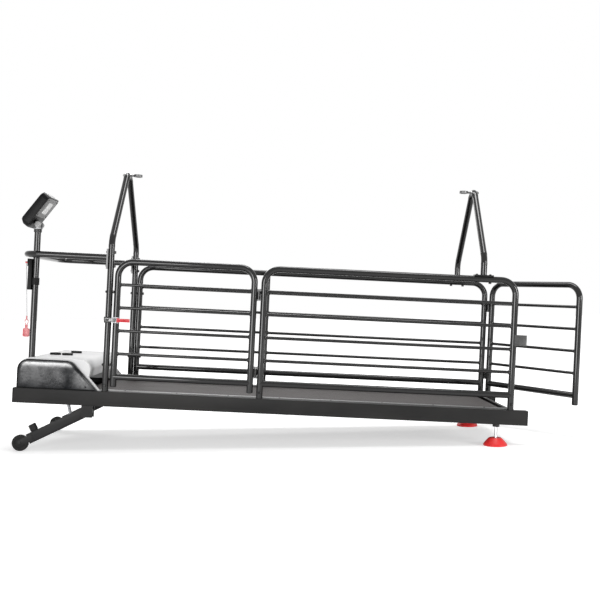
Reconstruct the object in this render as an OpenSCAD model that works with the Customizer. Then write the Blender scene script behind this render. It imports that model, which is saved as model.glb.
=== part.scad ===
// Dog treadmill: an inclined running deck on two rails, with barred side panels, a side gate, a tail gate,
// two harness arches, a handlebar, a console on a pole and a motor under a hood at the head end.
// Deck frame: u runs from the head end of the rails to the tail, v across, w up from the rail tops.
// World frame: the floor is z = 0, +X points to the tail and the deck is tilted head up.

/* [Rails and deck] */
// Length of each side rail
rail_l = 2425; // [2300:5:2600]
// Height of each side rail
rail_h = 70; // [64:1:90]
// Width of each side rail
rail_w = 40; // [36:1:50]
// Wall of the rail tube
rail_wall = 3; // [2:0.5:4]
// Distance between the rail centre lines
rail_track = 600; // [580:5:680]
// Head-up tilt of the deck to the floor, in degrees
incline = 3.3; // [2.5:0.1:4]
// Width of the running belt
belt_w = 500; // [440:5:510]
// Thickness of the running belt
belt_t = 2.5; // [2:0.5:3]
// Depth of the belt's upper face below the rail tops
belt_drop = 3; // [1:0.5:4]
// Diameter of both belt rollers
roller_d = 58; // [50:1:60]
// Drive roller's place along the rails
drive_u = 334; // [325:1:345]
// Tail roller's distance in from the rails' tail ends
tail_in = 113; // [95:1:145]
// Thickness of the deck board
deck_t = 18; // [15:1:22]

/* [Panels and gates] */
// Diameter of the bent frame tubes
tube_d = 30; // [26:0.5:31]
// Wall of the bent frame tubes
tube_wall = 2; // [1.5:0.5:3]
// Diameter of the cross bars
bar_d = 15; // [12:0.5:17]
// Height of the top rail's centre above the rail tops
gate_top = 615; // [580:1:650]
// Height of the bottom rail's centre above the rail tops
gate_low = 70; // [60:1:90]
// Height of the gate posts' lower ends above the rail tops
gate_foot = 25; // [20:1:40]
// Bend radius of the panel corners at the tube's centre
corner_r = 70; // [50:1:80]
// Number of cross bars between the rails of a panel
bars = 4; // [2:1:6]
// Side gate's latch post along the rails
gate_u = 461; // [458:1:475]
// Side gate's width between its post centres
side_gate_w = 645; // [600:1:660]
// Gap between the side gate's hinge post and the panel post, centre to centre
hinge_gap = 47; // [45:1:56]
// Near panel's width between its post centres
near_panel_w = 1195; // [1150:1:1200]
// Far panel's first post along the rails
far_u = 455; // [452:1:465]
// Far panel's middle post along the rails
far_mid_u = 1150; // [1100:1:1200]
// Tail gate's width between its post centres
tail_gate_w = 552; // [500:1:556]
// Angle by which the tail gate stands open, in degrees
tail_open = 35; // [20:1:45]

/* [Arches and handlebar] */
// Head arch's place along the rails
head_arch_u = 424; // [415:1:426]
// Tail arch's place along the rails
tail_arch_u = 2191; // [2100:1:2220]
// Height at which an arch starts to bend inwards
knee_w = 688; // [670:1:720]
// Lean of the arch arms from upright, in degrees
arch_lean = 37.8; // [34:0.1:42]
// Bend radius at an arch's knee
knee_r = 80; // [60:1:100]
// Bend radius at an arch's apex
apex_r = 55; // [40:1:70]
// Height of the handlebar's centre above the rail tops
bar_w = 632; // [610:1:660]
// Front run of the handlebar along the rails
bar_u = 10; // [4:1:14]
// Bend radius of the handlebar corners
bar_r = 75; // [60:1:90]

/* [Head end] */
// Height of the side covers above the rail tops
cover_h = 137; // [130:1:150]
// Foremost point of the side covers
cover_front_u = 13; // [8:1:20]
// Rearmost point of the side covers
cover_rear_u = 389; // [380:1:391]
// Thickness of a side cover
cover_t = 22; // [18:1:24]
// Height of the hood's top above the rail tops
hood_h = 143; // [139:1:155]
// Rearmost point of the hood
hood_rear_u = 350; // [346:1:356]
// Wall of the hood
hood_wall = 3; // [2:0.5:4]

/* [Pole and console] */
// Pole's place along the rails
pole_u = 57; // [55:1:62]
// Pole's distance in from the near rail's centre line
pole_in = 50; // [48:1:60]
// Height of the pole's top above the rail tops
pole_top = 752; // [730:1:780]
// Length of the console's face
console_l = 178; // [170:1:200]
// Width of the console
console_w = 160; // [150:1:200]
// Thickness of the console
console_t = 44; // [40:1:52]
// Tilt of the console's face from the deck, in degrees
console_tilt = 54; // [45:1:60]

/* [Lift and feet] */
// Lift pivot along the rails
lift_u = 348; // [340:1:356]
// Depth of the lift pivot below the rail tops
lift_drop = 97; // [97:1:110]
// Length of a lift leg from pivot to wheel axle
leg_l = 350; // [340:1:380]
// Height of the square leg tube's section
leg_h = 48; // [42:1:48]
// Width of the square leg tube's section
leg_w = 30; // [24:1:30]
// Diameter of the wheels
wheel_d = 76; // [70:1:84]
// Width of the wheels
wheel_w = 26; // [20:1:30]
// Levelling feet's distance in from the rails' tail ends
foot_in = 141; // [125:1:175]
// Drop from the rail tops to the floor at the feet
foot_drop = 170; // [164:1:184]
// Diameter of a foot's pad
pad_d = 112; // [90:1:120]

/* [Hidden] */

$fn = 48;
// Extra length of cutting shapes
overrun = 1;
// Play between fixed pieces that sit beside each other
seat_gap = 0.3;
// Radial play of a turning pin or shaft
pin_play = 0.05;

// Places shared by several pieces
half_track = rail_track / 2;
tail_u = rail_l - tail_in;
foot_u = rail_l - foot_in;
rail_in = half_track - rail_w / 2;
tube_r = tube_d / 2;
pole_v = -half_track + pole_in;
near_panel_u = gate_u + side_gate_w + hinge_gap;
tail_post_u = near_panel_u + near_panel_w;
far_panel_w = tail_post_u - far_u;
bar_step = (gate_top - gate_low) / (bars + 1);
roller_r = roller_d / 2;
roller_w = -belt_drop - belt_t - roller_r;
belt_under = -belt_drop - belt_t;
floor_to_deck = foot_u * sin(incline) + foot_drop * cos(incline);
cap_t = 4;
hinge_off = hinge_gap / 2;
tail_hinge_u = tail_post_u + hinge_off;
// Lift legs at rest: the pivot's height and the legs' fall from the deck
lift_z = floor_to_deck - lift_u * sin(incline) - lift_drop * cos(incline);
leg_fall = asin((lift_z - wheel_d / 2) / leg_l) + incline;
wheel_at = [lift_u - leg_l * cos(leg_fall), -lift_drop - leg_l * sin(leg_fall)];
// Ends of the whole object, which put the origin midway
gate_tip_u = tail_hinge_u + (hinge_off + tail_gate_w) * sin(tail_open) + tube_r;
tail_x = gate_tip_u * cos(incline) + (gate_top - corner_r) * sin(incline);
wheel_x = wheel_at[0] * cos(incline) + wheel_at[1] * sin(incline) - wheel_d / 2;
head_x = min(-cap_t * cos(incline) - rail_h * sin(incline), wheel_x);
origin_x = (tail_x + head_x) / 2;

// Places a deck-frame shape in the world
module on_deck() {
    translate([-origin_x, 0, floor_to_deck])
        rotate([0, incline, 0])
            children();
}

// Round bar between two points
module run(p, q, d) {
    way = q - p;
    translate(p)
        rotate([0, acos(way[2] / norm(way)), atan2(way[1], way[0])])
            cylinder(h = norm(way), d = d);
}

// Quarter or part bend about the local Z axis, from +X towards +Y
module bend(r, angle, d) {
    rotate_extrude(angle = angle)
        translate([r, 0])
            circle(d = d);
}

// Block given by its lowest and highest corners
module block(low, high) {
    translate(low)
        cube(high - low);
}

// Points of an arc, in equal steps
function arc(c, r, from, to, steps = 8) =
    [for (i = [0:steps]) c + r * [cos(from + (to - from) * i / steps), sin(from + (to - from) * i / steps)]];

// Bolt lying along its local Z axis with a domed head below and a nut above
module bolt(length, d) {
    head_d = d * bolt_head_share;
    cylinder(h = length, d = d);
    translate([0, 0, -d * bolt_head_h_share])
        cylinder(h = d * bolt_head_h_share, d1 = head_d * bolt_dome_share, d2 = head_d);
    translate([0, 0, length])
        cylinder(h = d * bolt_nut_share, d = head_d, $fn = 6);
}
bolt_head_share = 1.7;
bolt_head_h_share = 0.6;
bolt_dome_share = 0.6;
bolt_nut_share = 0.8;

// Rails, their caps and the pieces between them
cap_plug = 18;
rail_inner_h = rail_h - 2 * rail_wall;
rail_inner_w = rail_w - 2 * rail_wall;

module rail(side) {
    color([0.16, 0.16, 0.17])
        on_deck()
            difference() {
                block(
                    [0, side * half_track - rail_w / 2, -rail_h],
                    [rail_l, side * half_track + rail_w / 2, 0]);
                block(
                    [-overrun, side * half_track - rail_inner_w / 2, rail_wall - rail_h],
                    [rail_l + overrun, side * half_track + rail_inner_w / 2, -rail_wall]);
                translate([foot_u, side * half_track, -rail_h - overrun])
                    cylinder(h = rail_wall + 2 * overrun, d = stud_d + 2 * seat_gap);
            }
}
module near_rail() rail(-1);
module far_rail() rail(1);

module rail_end_caps() {
    color([0.06, 0.06, 0.06])
        on_deck()
            for (side = [-1, 1], end = [0, 1])
                translate([end * rail_l, side * half_track, -rail_h / 2])
                    mirror([end, 0, 0])
                        rail_cap();
}
module rail_cap() {
    block([-cap_t, -rail_w / 2, -rail_h / 2], [0, rail_w / 2, rail_h / 2]);
    block(
        [-cap_t, seat_gap - rail_inner_w / 2, seat_gap - rail_inner_h / 2],
        [cap_plug, rail_inner_w / 2 - seat_gap, rail_inner_h / 2 - seat_gap]);
}

cushion_h = 8;
cushion_d = 34;
cushion_v = 190;
cross_w = 40;
cross_wall = 3;
cross_clear = 2;
cross_h = roller_d - deck_t - cushion_h - cross_clear;
cross_top = belt_under - deck_t - cushion_h;
cross_gap = 2;
// Room for the drive belt's lower run between the drive pulley and a cross member
belt_room = 41.5;
deck_end_gap = 6;
deck_from_u = drive_u + roller_r + deck_end_gap;
deck_to_u = tail_u - roller_r - deck_end_gap;
// Cross members under the deck board
deck_cross_shares = [0.045, 0.27, 0.5, 0.73, 0.95];
deck_cross_u = [for (share = deck_cross_shares) deck_from_u + share * (deck_to_u - deck_from_u)];
// Cross members of the head end: under the pole, beside the actuator and before the drive pulley
function head_cross() = [
    pole_u,
    min(act_u, act_foot[0]) - act_d / 2 - cross_gap - cross_w / 2,
    drive_u - drive_pulley_d / 2 - belt_room - cross_w / 2];
tail_cover_t = 3;
tail_cover_gap = 6;
tail_cover_u = tail_u + roller_r + belt_t + tail_cover_gap;
tail_cover_l = 18;
tail_cover_h = 55;

module cross_members() {
    color([0.14, 0.14, 0.15])
        on_deck() {
            for (u = concat(head_cross(), deck_cross_u))
                difference() {
                    block(
                        [u - cross_w / 2, -rail_in, cross_top - cross_h],
                        [u + cross_w / 2, rail_in, cross_top]);
                    block(
                        [u - cross_w / 2 + cross_wall, -rail_in - overrun, cross_top - cross_h + cross_wall],
                        [u + cross_w / 2 - cross_wall, rail_in + overrun, cross_top - cross_wall]);
                }
            actuator_ears();
            difference() {
                block(
                    [tail_cover_u, -rail_in, -belt_drop - tail_cover_h],
                    [tail_cover_u + tail_cover_l, rail_in, -belt_drop]);
                block(
                    [tail_cover_u - overrun, -rail_in - overrun, -belt_drop - tail_cover_h - overrun],
                    [
                        tail_cover_u + tail_cover_l - tail_cover_t, rail_in + overrun,
                        -belt_drop - tail_cover_t]);
            }
        }
}

module deck_board() {
    color([0.45, 0.33, 0.2])
        on_deck()
            block(
                [deck_from_u, seat_gap - rail_in, belt_under - deck_t],
                [deck_to_u, rail_in - seat_gap, belt_under]);
}

module deck_cushions() {
    color([0.05, 0.05, 0.05])
        on_deck()
            for (u = deck_cross_u, side = [-1, 1])
                translate([u, side * cushion_v, cross_top])
                    cylinder(h = cushion_h, d = cushion_d);
}

strip_t = 3;
strip_lap = 4;
strip_start_gap = 2;
strip_tail_over = 12;
module landing_strips() {
    color([0.72, 0.72, 0.73])
        on_deck()
            for (side = [-1, 1])
                translate([0, side * (half_track - tube_r - seat_gap), 0])
                    mirror([0, side > 0 ? 1 : 0, 0])
                        block(
                            [cover_rear_u + strip_start_gap, 0, 0],
                            [tail_u + roller_r + strip_tail_over, strip_w, strip_t]);
}
strip_w = half_track - tube_r - seat_gap - belt_w / 2 + strip_lap;

// Endless loop round two circles, as a flat outline
module loop_outline(c1, r1, c2, r2) {
    span = c2 - c1;
    heading = atan2(span[1], span[0]);
    swing = acos((r1 - r2) / norm(span));
    translate(c1)
        circle(r = r1);
    translate(c2)
        circle(r = r2);
    polygon([
        c1 + r1 * [cos(heading + swing), sin(heading + swing)],
        c2 + r2 * [cos(heading + swing), sin(heading + swing)],
        c2 + r2 * [cos(heading - swing), sin(heading - swing)],
        c1 + r1 * [cos(heading - swing), sin(heading - swing)]]);
}

// Stands a flat u-w outline up across the deck, between two v places
module across(from_v, to_v) {
    translate([0, to_v, 0])
        rotate([90, 0, 0])
            linear_extrude(to_v - from_v)
                children();
}

module running_belt() {
    color([0.2, 0.19, 0.18])
        on_deck()
            across(-belt_w / 2, belt_w / 2)
                difference() {
                    loop_outline(
                        [drive_u, roller_w], roller_r + belt_t,
                        [tail_u, roller_w], roller_r + belt_t);
                    loop_outline([drive_u, roller_w], roller_r, [tail_u, roller_w], roller_r);
                }
}

// Rollers, their bearings and the drive
shaft_d = 16;
roller_over = 3;
roller_half = belt_w / 2 + roller_over;
block_t = 10;
block_h = 44;
shaft_end_gap = 1;
pulley_w = 11;
pulley_gap = 2;
drive_pulley_d = 60;
motor_pulley_d = 30;
drive_belt_t = 3;
pulley_v = -roller_half - pulley_gap - pulley_w / 2;

// Cylinder along v, centred on a u-w place
module axle(u, w, from_v, to_v, d) {
    translate([u, to_v, w])
        rotate([90, 0, 0])
            cylinder(h = to_v - from_v, d = d);
}

module roller(u) {
    axle(u, roller_w, -roller_half, roller_half, roller_d - 2 * seat_gap);
    axle(u, roller_w, shaft_end_gap - rail_in, rail_in - shaft_end_gap, shaft_d);
}
module drive_roller() {
    color([0.6, 0.6, 0.62])
        on_deck()
            roller(drive_u);
}
module tail_roller() {
    color([0.6, 0.6, 0.62])
        on_deck()
            roller(tail_u);
}

module drive_pulley() {
    color([0.1, 0.1, 0.1])
        on_deck()
            difference() {
                axle(drive_u, roller_w, pulley_v - pulley_w / 2, pulley_v + pulley_w / 2, drive_pulley_d);
                axle(drive_u, roller_w, pulley_v - pulley_w, pulley_v + pulley_w, shaft_d);
            }
}

module roller_bearings() {
    color([0.3, 0.3, 0.32])
        on_deck()
            for (u = [drive_u, tail_u], side = [-1, 1])
                difference() {
                    block(
                        [u - block_h / 2, side * (rail_in - block_t / 2) - block_t / 2,
                            roller_w - block_h / 2],
                        [u + block_h / 2, side * (rail_in - block_t / 2) + block_t / 2,
                            roller_w + block_h / 2 - block_cut]);
                    axle(u, roller_w, -rail_track, rail_track, shaft_d + 2 * pin_play);
                }
}
block_cut = 4;

motor_u = 190;
motor_w = 40;
motor_d = 96;
motor_l = 170;
motor_gap = 14;
motor_v = pulley_v + pulley_w / 2 + motor_gap;
motor_shaft_d = 12;
base_t = 6;
base_side = 12;
base_top = cross_top + base_t;
fan_d = 84;
fan_w = 8;

module motor() {
    color([0.12, 0.12, 0.13])
        on_deck()
            difference() {
                union() {
                    axle(motor_u, motor_w, motor_v, motor_v + motor_l, motor_d);
                    block(
                        [head_cross()[1] - cross_w / 2, motor_v + base_side, cross_top],
                        [head_cross()[2] + cross_w / 2, motor_v + motor_l - base_side, base_top]);
                    block(
                        [motor_u - motor_d / 2 + base_side, motor_v + base_side, base_top],
                        [motor_u + motor_d / 2 - base_side, motor_v + motor_l - base_side, motor_w]);
                }
                axle(
                    motor_u, motor_w, motor_v - overrun, motor_v + motor_l + overrun,
                    motor_shaft_d + 2 * pin_play);
            }
}

module motor_flywheel() {
    color([0.4, 0.4, 0.42])
        on_deck() {
            axle(
                motor_u, motor_w, pulley_v - pulley_w / 2, motor_v + motor_l + fan_w + pulley_gap,
                motor_shaft_d);
            axle(motor_u, motor_w, pulley_v - pulley_w / 2, pulley_v + pulley_w / 2, motor_pulley_d);
            axle(
                motor_u, motor_w, motor_v + motor_l + pulley_gap,
                motor_v + motor_l + pulley_gap + fan_w, fan_d);
        }
}

module drive_belt() {
    inner_big = drive_pulley_d / 2 + seat_gap;
    inner_small = motor_pulley_d / 2 + seat_gap;
    color([0.04, 0.04, 0.04])
        on_deck()
            across(pulley_v - pulley_w / 2, pulley_v + pulley_w / 2)
                difference() {
                    loop_outline(
                        [drive_u, roller_w], inner_big + drive_belt_t,
                        [motor_u, motor_w], inner_small + drive_belt_t);
                    loop_outline([drive_u, roller_w], inner_big, [motor_u, motor_w], inner_small);
                }
}

box_l = 110;
box_w = 170;
box_h = 46;
box_v = 90;
box_u = 54;
fin_t = 3;
fin_h = 16;
fins = 9;
module controller() {
    color([0.5, 0.51, 0.53])
        on_deck()
            translate([box_u, box_v, cross_top]) {
                block([0, 0, 0], [box_l, box_w, box_h]);
                for (i = [0:fins - 1])
                    translate([0, i * (box_w - fin_t) / (fins - 1), box_h])
                        cube([box_l, fin_t, fin_h]);
            }
}

// Hood and side covers
cover_over = 2;
cover_out = half_track + rail_w / 2 + cover_over;
cover_front_r = 50;
cover_rear_r = 57;
cover_top_rear_u = 262;
hood_half = cover_out - cover_t - seat_gap;
hood_front_r = 54;
hood_rear_r = 46;
hood_tuck = 12;
hood_rear_gap = 12;
hood_lip = 13;
lip_t = 9;

// Slope of the side covers' rear edge
slant = atan2(cover_h, cover_rear_u - cover_top_rear_u);

// Side cover outline in u and w, grown by a lip
function cover_outline(lip) = concat(
    [[cover_front_u, 0]],
    arc([cover_front_u + cover_front_r, cover_h - cover_front_r], cover_front_r, 180, 90),
    arc(slant_corner(lip), cover_rear_r, 90, 90 - slant),
    [[cover_rear_u + lip, 0]]);
// Centre of the round corner between the top and the slanted edge
function slant_corner(lip) = [
    cover_top_rear_u + lip - cover_rear_r * tan(slant / 2),
    cover_h - cover_rear_r];

// Hood outline in u and w, drawn in by its wall and let down below the rail tops where it is open
function hood_outline(inset, down) = concat(
    [[cover_front_u + inset, -down]],
    arc([cover_front_u + hood_front_r, hood_h - hood_front_r], hood_front_r - inset, 180, 90),
    arc([hood_rear_u - hood_rear_r, hood_h - hood_rear_r], hood_rear_r - inset, 90, 0),
    [[hood_rear_u - hood_tuck - inset, hood_rear_gap - down]]);

module side_cover(side) {
    color([0.04, 0.04, 0.045])
        on_deck()
            across(
                side < 0 ? -cover_out : cover_out - cover_t,
                side < 0 ? cover_t - cover_out : cover_out)
                polygon(cover_outline(0));
}
module near_side_cover() side_cover(-1);
module far_side_cover() side_cover(1);

pole_d = 30;
pole_wall = 2;
hood_hole_gap = 2;
inlet_v = 150;
module hood() {
    color([0.86, 0.86, 0.87])
        on_deck()
            difference() {
                union() {
                    across(-hood_half, hood_half)
                        polygon(hood_outline(0, 0));
                    across(-hood_half, lip_t - hood_half)
                        polygon(cover_outline(hood_lip));
                    across(hood_half - lip_t, hood_half)
                        polygon(cover_outline(hood_lip));
                }
                across(lip_t - hood_half, hood_half - lip_t)
                    polygon(hood_outline(hood_wall, cover_h));
                translate([pole_u, pole_v, 0])
                    cylinder(h = hood_h + overrun, d = pole_d + 2 * hood_hole_gap);
            }
}

vent_h = 10;
vent_r = 20;
vent_l = 14;
// Places of the vents, as shares of the hood's length and half width
vent_u_shares = [0.33, 0.5, 0.5];
vent_v_shares = [-0.2, -0.2, 0.37];
vent_slots = 3;
vent_slot_t = 3;
module hood_vents() {
    color([0.03, 0.03, 0.03])
        on_deck()
            for (i = [0:len(vent_u_shares) - 1])
                translate([vent_u_shares[i] * hood_rear_u, vent_v_shares[i] * hood_half, hood_h])
                    difference() {
                        union() {
                            for (end = [-1, 1])
                                translate([end * vent_l / 2, 0, 0])
                                    cylinder(h = vent_h, r = vent_r);
                            block([-vent_l / 2, -vent_r, 0], [vent_l / 2, vent_r, vent_h]);
                        }
                        for (slot = [1:vent_slots])
                            translate([0, (slot * 2 / (vent_slots + 1) - 1) * vent_r, vent_h / 2])
                                block([-vent_l, -vent_slot_t / 2, 0], [vent_l, vent_slot_t / 2, vent_h]);
                    }
}

inlet_l = 84;
inlet_h = 36;
inlet_t = 5;
inlet_w = 48;
socket_l = 30;
socket_h = 22;
socket_d = 4;
rocker_l = 22;
rocker_h = 17;
rocker_t = 5;
rocker_play = 0.6;
rocker_pin_d = 3;
rocker_pin_in = 2;
rocker_deep = 2;
rocker_u = cover_front_u - inlet_t + rocker_deep;
rocker_v = inlet_v + inlet_l / 4;
socket_v = inlet_v - inlet_l / 5;
// Pivot of the rocker, grown in diameter and length for its hole
module rocker_pin(d, longer) {
    axle(rocker_u, inlet_w, rocker_v - rocker_l / 2 - rocker_pin_in - longer,
        rocker_v + rocker_l / 2 + rocker_pin_in + longer, d);
}
module power_inlet() {
    color([0.05, 0.05, 0.05])
        on_deck()
            difference() {
                block(
                    [cover_front_u - inlet_t, inlet_v - inlet_l / 2, inlet_w - inlet_h / 2],
                    [cover_front_u, inlet_v + inlet_l / 2, inlet_w + inlet_h / 2]);
                block(
                    [cover_front_u - inlet_t - overrun, socket_v - socket_l / 2, inlet_w - socket_h / 2],
                    [cover_front_u - inlet_t + socket_d, socket_v + socket_l / 2, inlet_w + socket_h / 2]);
                block(
                    [cover_front_u - inlet_t - overrun, rocker_v - rocker_l / 2, inlet_w - rocker_h / 2],
                    [cover_front_u + overrun, rocker_v + rocker_l / 2, inlet_w + rocker_h / 2]);
                rocker_pin(rocker_pin_d + 2 * pin_play, seat_gap);
            }
}
module power_rocker() {
    color([0.7, 0.05, 0.05])
        on_deck() {
            rocker_pin(rocker_pin_d, 0);
            block(
                [cover_front_u - inlet_t - rocker_t / 2, rocker_v - rocker_l / 2 + rocker_play,
                    inlet_w - rocker_h / 2 + 2 * rocker_play],
                [cover_front_u - inlet_t + rocker_t / 2, rocker_v + rocker_l / 2 - rocker_play,
                    inlet_w + rocker_h / 2 - 2 * rocker_play]);
        }
}

// Pole, console and its buttons
module console_pole() {
    color([0.05, 0.05, 0.055])
        on_deck()
            difference() {
                translate([pole_u, pole_v, cross_top])
                    cylinder(h = pole_top - cross_top, d = pole_d);
                translate([pole_u, pole_v, cross_top - overrun])
                    cylinder(h = pole_top - cross_top - pole_wall + overrun, d = pole_d - 2 * pole_wall);
            }
}

tilt_pin_d = 8;
tilt_rise = 22;
tilt_rear = 6;
tilt_u = pole_u + tilt_rear;
tilt_w = pole_top + tilt_rise;
lug_w = 24;
lug_r = 11;
ear_t = 5;
sleeve_h = 14;
sleeve_t = 3;
sleeve_cap = 4;
back_off = 20;
module console_bracket() {
    ear_v = lug_w / 2 + seat_gap;
    color([0.62, 0.63, 0.64])
        on_deck()
            translate([0, pole_v, 0]) {
                difference() {
                    translate([pole_u, 0, pole_top - sleeve_h])
                        cylinder(h = sleeve_h + sleeve_cap, d = pole_d + 2 * seat_gap + 2 * sleeve_t);
                    translate([pole_u, 0, pole_top - sleeve_h - overrun])
                        cylinder(h = sleeve_h + overrun, d = pole_d + 2 * seat_gap);
                }
                for (side = [-1, 1])
                    translate([0, side * (ear_v + ear_t / 2), 0]) {
                        axle(tilt_u, tilt_w, -ear_t / 2, ear_t / 2, 2 * lug_r);
                        block([tilt_u - lug_r, -ear_t / 2, pole_top + sleeve_cap / 2],
                            [tilt_u + lug_r, ear_t / 2, tilt_w]);
                    }
                axle(tilt_u, tilt_w, -ear_v - ear_t, ear_v + ear_t, tilt_pin_d);
            }
}

// Places a console shape: x up the face, y across, z out of the face, from the tilt pin
module on_console() {
    on_deck()
        translate([tilt_u, pole_v, tilt_w])
            rotate([0, -console_tilt, 0])
                children();
}

console_low = -36;
console_r = 24;
console_chamfer = 22;
console_face = back_off + console_t;
console_mid = console_low + console_l / 2;
screen_l = 92;
screen_w = 118;
screen_t = 2;
screen_up = 26;
screen_x = console_mid + screen_up;
button_d = 18;
button_h = 8;
button_proud = 3;
button_up = 34;
button_x = console_low + button_up;
buttons = 4;
button_step = 32;
rim_t = 5;
rim_w = 9;

// Flat rectangle with round corners, centred
module rounded_rect(l, w, r) {
    square([l - 2 * r, w], center = true);
    square([l, w - 2 * r], center = true);
    for (x = [-1, 1], y = [-1, 1])
        translate([x * (l / 2 - r), y * (w / 2 - r)])
            circle(r = r);
}

module console_shell() {
    color([0.13, 0.13, 0.14])
        on_console()
            difference() {
                union() {
                    translate([console_mid, 0, back_off])
                        linear_extrude(console_t - rim_t)
                            rounded_rect(console_l, console_w, console_r);
                    translate([console_mid, 0, back_off])
                        linear_extrude(console_t)
                            rounded_rect(console_l - 2 * rim_w, console_w - 2 * rim_w, console_r - rim_w);
                    translate([0, lug_w / 2, 0])
                        rotate([90, 0, 0])
                            linear_extrude(lug_w) {
                                circle(r = lug_r);
                                translate([-lug_r, 0])
                                    square([2 * lug_r, back_off + overrun]);
                            }
                }
                rotate([90, 0, 0])
                    cylinder(h = console_w, d = tilt_pin_d + 2 * pin_play, center = true);
                translate([0, console_w / 2 + overrun, 0])
                    rotate([90, 0, 0])
                        linear_extrude(console_w + 2 * overrun)
                            polygon([
                                [console_low - overrun, console_face - console_chamfer - overrun],
                                [console_low + console_chamfer + overrun, console_face + overrun],
                                [console_low - overrun, console_face + overrun]]);
                translate([screen_x, 0, console_face - screen_t])
                    linear_extrude(screen_t + overrun)
                        rounded_rect(screen_l + 2 * seat_gap, screen_w + 2 * seat_gap, rim_w);
                for (i = [0:buttons - 1])
                    translate([button_x, (i - (buttons - 1) / 2) * button_step, console_face - button_h])
                        cylinder(h = button_h + overrun, d = button_d + 2 * seat_gap);
            }
}
module console_screen() {
    color([0.03, 0.04, 0.05])
        on_console()
            translate([screen_x, 0, console_face - screen_t])
                linear_extrude(screen_t)
                    rounded_rect(screen_l, screen_w, rim_w);
}

button_lift = 3;
module button(i, tint) {
    color(tint)
        on_console()
            translate([
                button_x, (i - (buttons - 1) / 2) * button_step, console_face - button_h + button_lift])
                cylinder(h = button_h - button_lift + button_proud, d = button_d);
}
module start_button() button(0, [0.1, 0.45, 0.15]);
module minus_button() button(1, [0.25, 0.25, 0.26]);
module plus_button() button(2, [0.25, 0.25, 0.26]);
module stop_button() button(3, [0.7, 0.05, 0.05]);

// Pull switch on the pole, with its lanyard
switch_l = 18;
switch_w = 34;
switch_h = 148;
switch_low = 462;
switch_head_l = 4;
switch_head_h = 36;
switch_u = pole_u - pole_d / 2 - switch_l / 2;
band_h = 34;
band_up = 24;
band_low = switch_low + band_up;
plunger_d = 9;
plunger_out = 14;
plunger_in = 8;
plunger_w = switch_low + switch_h - switch_head_h / 2;
head_face_u = switch_u - switch_l / 2 - switch_head_l;
module safety_switch() {
    color([0.1, 0.1, 0.11])
        on_deck()
            difference() {
                union() {
                    block(
                        [switch_u - switch_l / 2, pole_v - switch_w / 2, switch_low],
                        [switch_u + switch_l / 2, pole_v + switch_w / 2, switch_low + switch_h]);
                    block(
                        [switch_u - switch_l / 2 - switch_head_l, pole_v - switch_w / 2,
                            switch_low + switch_h - switch_head_h],
                        [switch_u, pole_v + switch_w / 2, switch_low + switch_h]);
                    translate([pole_u, pole_v, band_low])
                        cylinder(h = band_h, d = pole_d + 2 * seat_gap + 2 * sleeve_t);
                }
                translate([pole_u, pole_v, switch_low - overrun])
                    cylinder(h = switch_h + 2 * overrun, d = pole_d + 2 * seat_gap);
                translate([head_face_u - overrun, pole_v, plunger_w])
                    rotate([0, 90, 0])
                        cylinder(h = plunger_in + overrun + seat_gap, d = plunger_d + 2 * seat_gap);
            }
}
module pull_plunger() {
    color([0.75, 0.06, 0.06])
        on_deck()
            translate([head_face_u - plunger_out, pole_v, plunger_w])
                rotate([0, 90, 0])
                    cylinder(h = plunger_out + plunger_in, d = plunger_d);
}

cord_d = 2.5;
cord_sides = 8;
// Lanyard's route below the plunger: distances along the rails and up from its start
cord_route = [
    [0, 0], [0, -3], [0.3, -8], [0.9, -18], [1.8, -34], [2.8, -50], [3.8, -66], [4.8, -82], [5.8, -100],
    [6.9, -120], [8, -140], [9.2, -160], [10.4, -180], [11.6, -200], [12.7, -220], [13.7, -238],
    [14.4, -251]];
cord_last = len(cord_route) - 1;
cord_end = cord_route[cord_last];
cord_from_face = 10;
cord_u = head_face_u - cord_from_face;
cord_w = plunger_w - plunger_d / 2;

function ring_at(p, d) = [for (k = [0:cord_sides - 1])
    [p[0] + d / 2 * cos(k * 360 / cord_sides), d / 2 * sin(k * 360 / cord_sides), p[1]]];
module lanyard_cord() {
    points = [for (p = cord_route) each ring_at(p, cord_d)];
    sides = [for (i = [0:cord_last - 1], k = [0:cord_sides - 1]) each [
        [i * cord_sides + k, i * cord_sides + (k + 1) % cord_sides, (i + 1) * cord_sides + k],
        [i * cord_sides + (k + 1) % cord_sides, (i + 1) * cord_sides + (k + 1) % cord_sides,
            (i + 1) * cord_sides + k]]];
    first = [for (k = [1:cord_sides - 2]) [0, k + 1, k]];
    base = cord_last * cord_sides;
    last = [for (k = [1:cord_sides - 2]) [base, base + k, base + k + 1]];
    color([0.08, 0.08, 0.08])
        on_deck()
            translate([cord_u, pole_v, cord_w])
                polyhedron(points, concat(sides, first, last));
}

clip_l = 43;
clip_w = 9;
clip_t = 6;
clip_eye_d = 4;
clip_low = cord_w + cord_end[1] - clip_l;
module lanyard_clip() {
    color([0.08, 0.08, 0.08])
        on_deck()
            difference() {
                translate([cord_u + cord_end[0], pole_v, clip_low])
                    block([-clip_w / 2, -clip_t / 2, 0], [clip_w / 2, clip_t / 2, clip_l]);
                axle(cord_u + cord_end[0], clip_low + clip_w, -rail_track, rail_track, clip_eye_d);
            }
}
tag_w = 32;
tag_h = 41;
tag_t = 3;
tag_r = 7;
tag_neck_w = 14;
tag_neck_h = 16;
module lanyard_tag() {
    color([0.8, 0.05, 0.07])
        on_deck()
            translate([cord_u + cord_end[0], pole_v + tag_t / 2, clip_low - tag_neck_h])
                rotate([90, 0, 0])
                    linear_extrude(tag_t) {
                        translate([0, -tag_h / 2])
                            rounded_rect(tag_w, tag_h, tag_r);
                        translate([-tag_neck_w / 2, -tag_r])
                            square([tag_neck_w, tag_neck_h + tag_r]);
                    }
}

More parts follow.
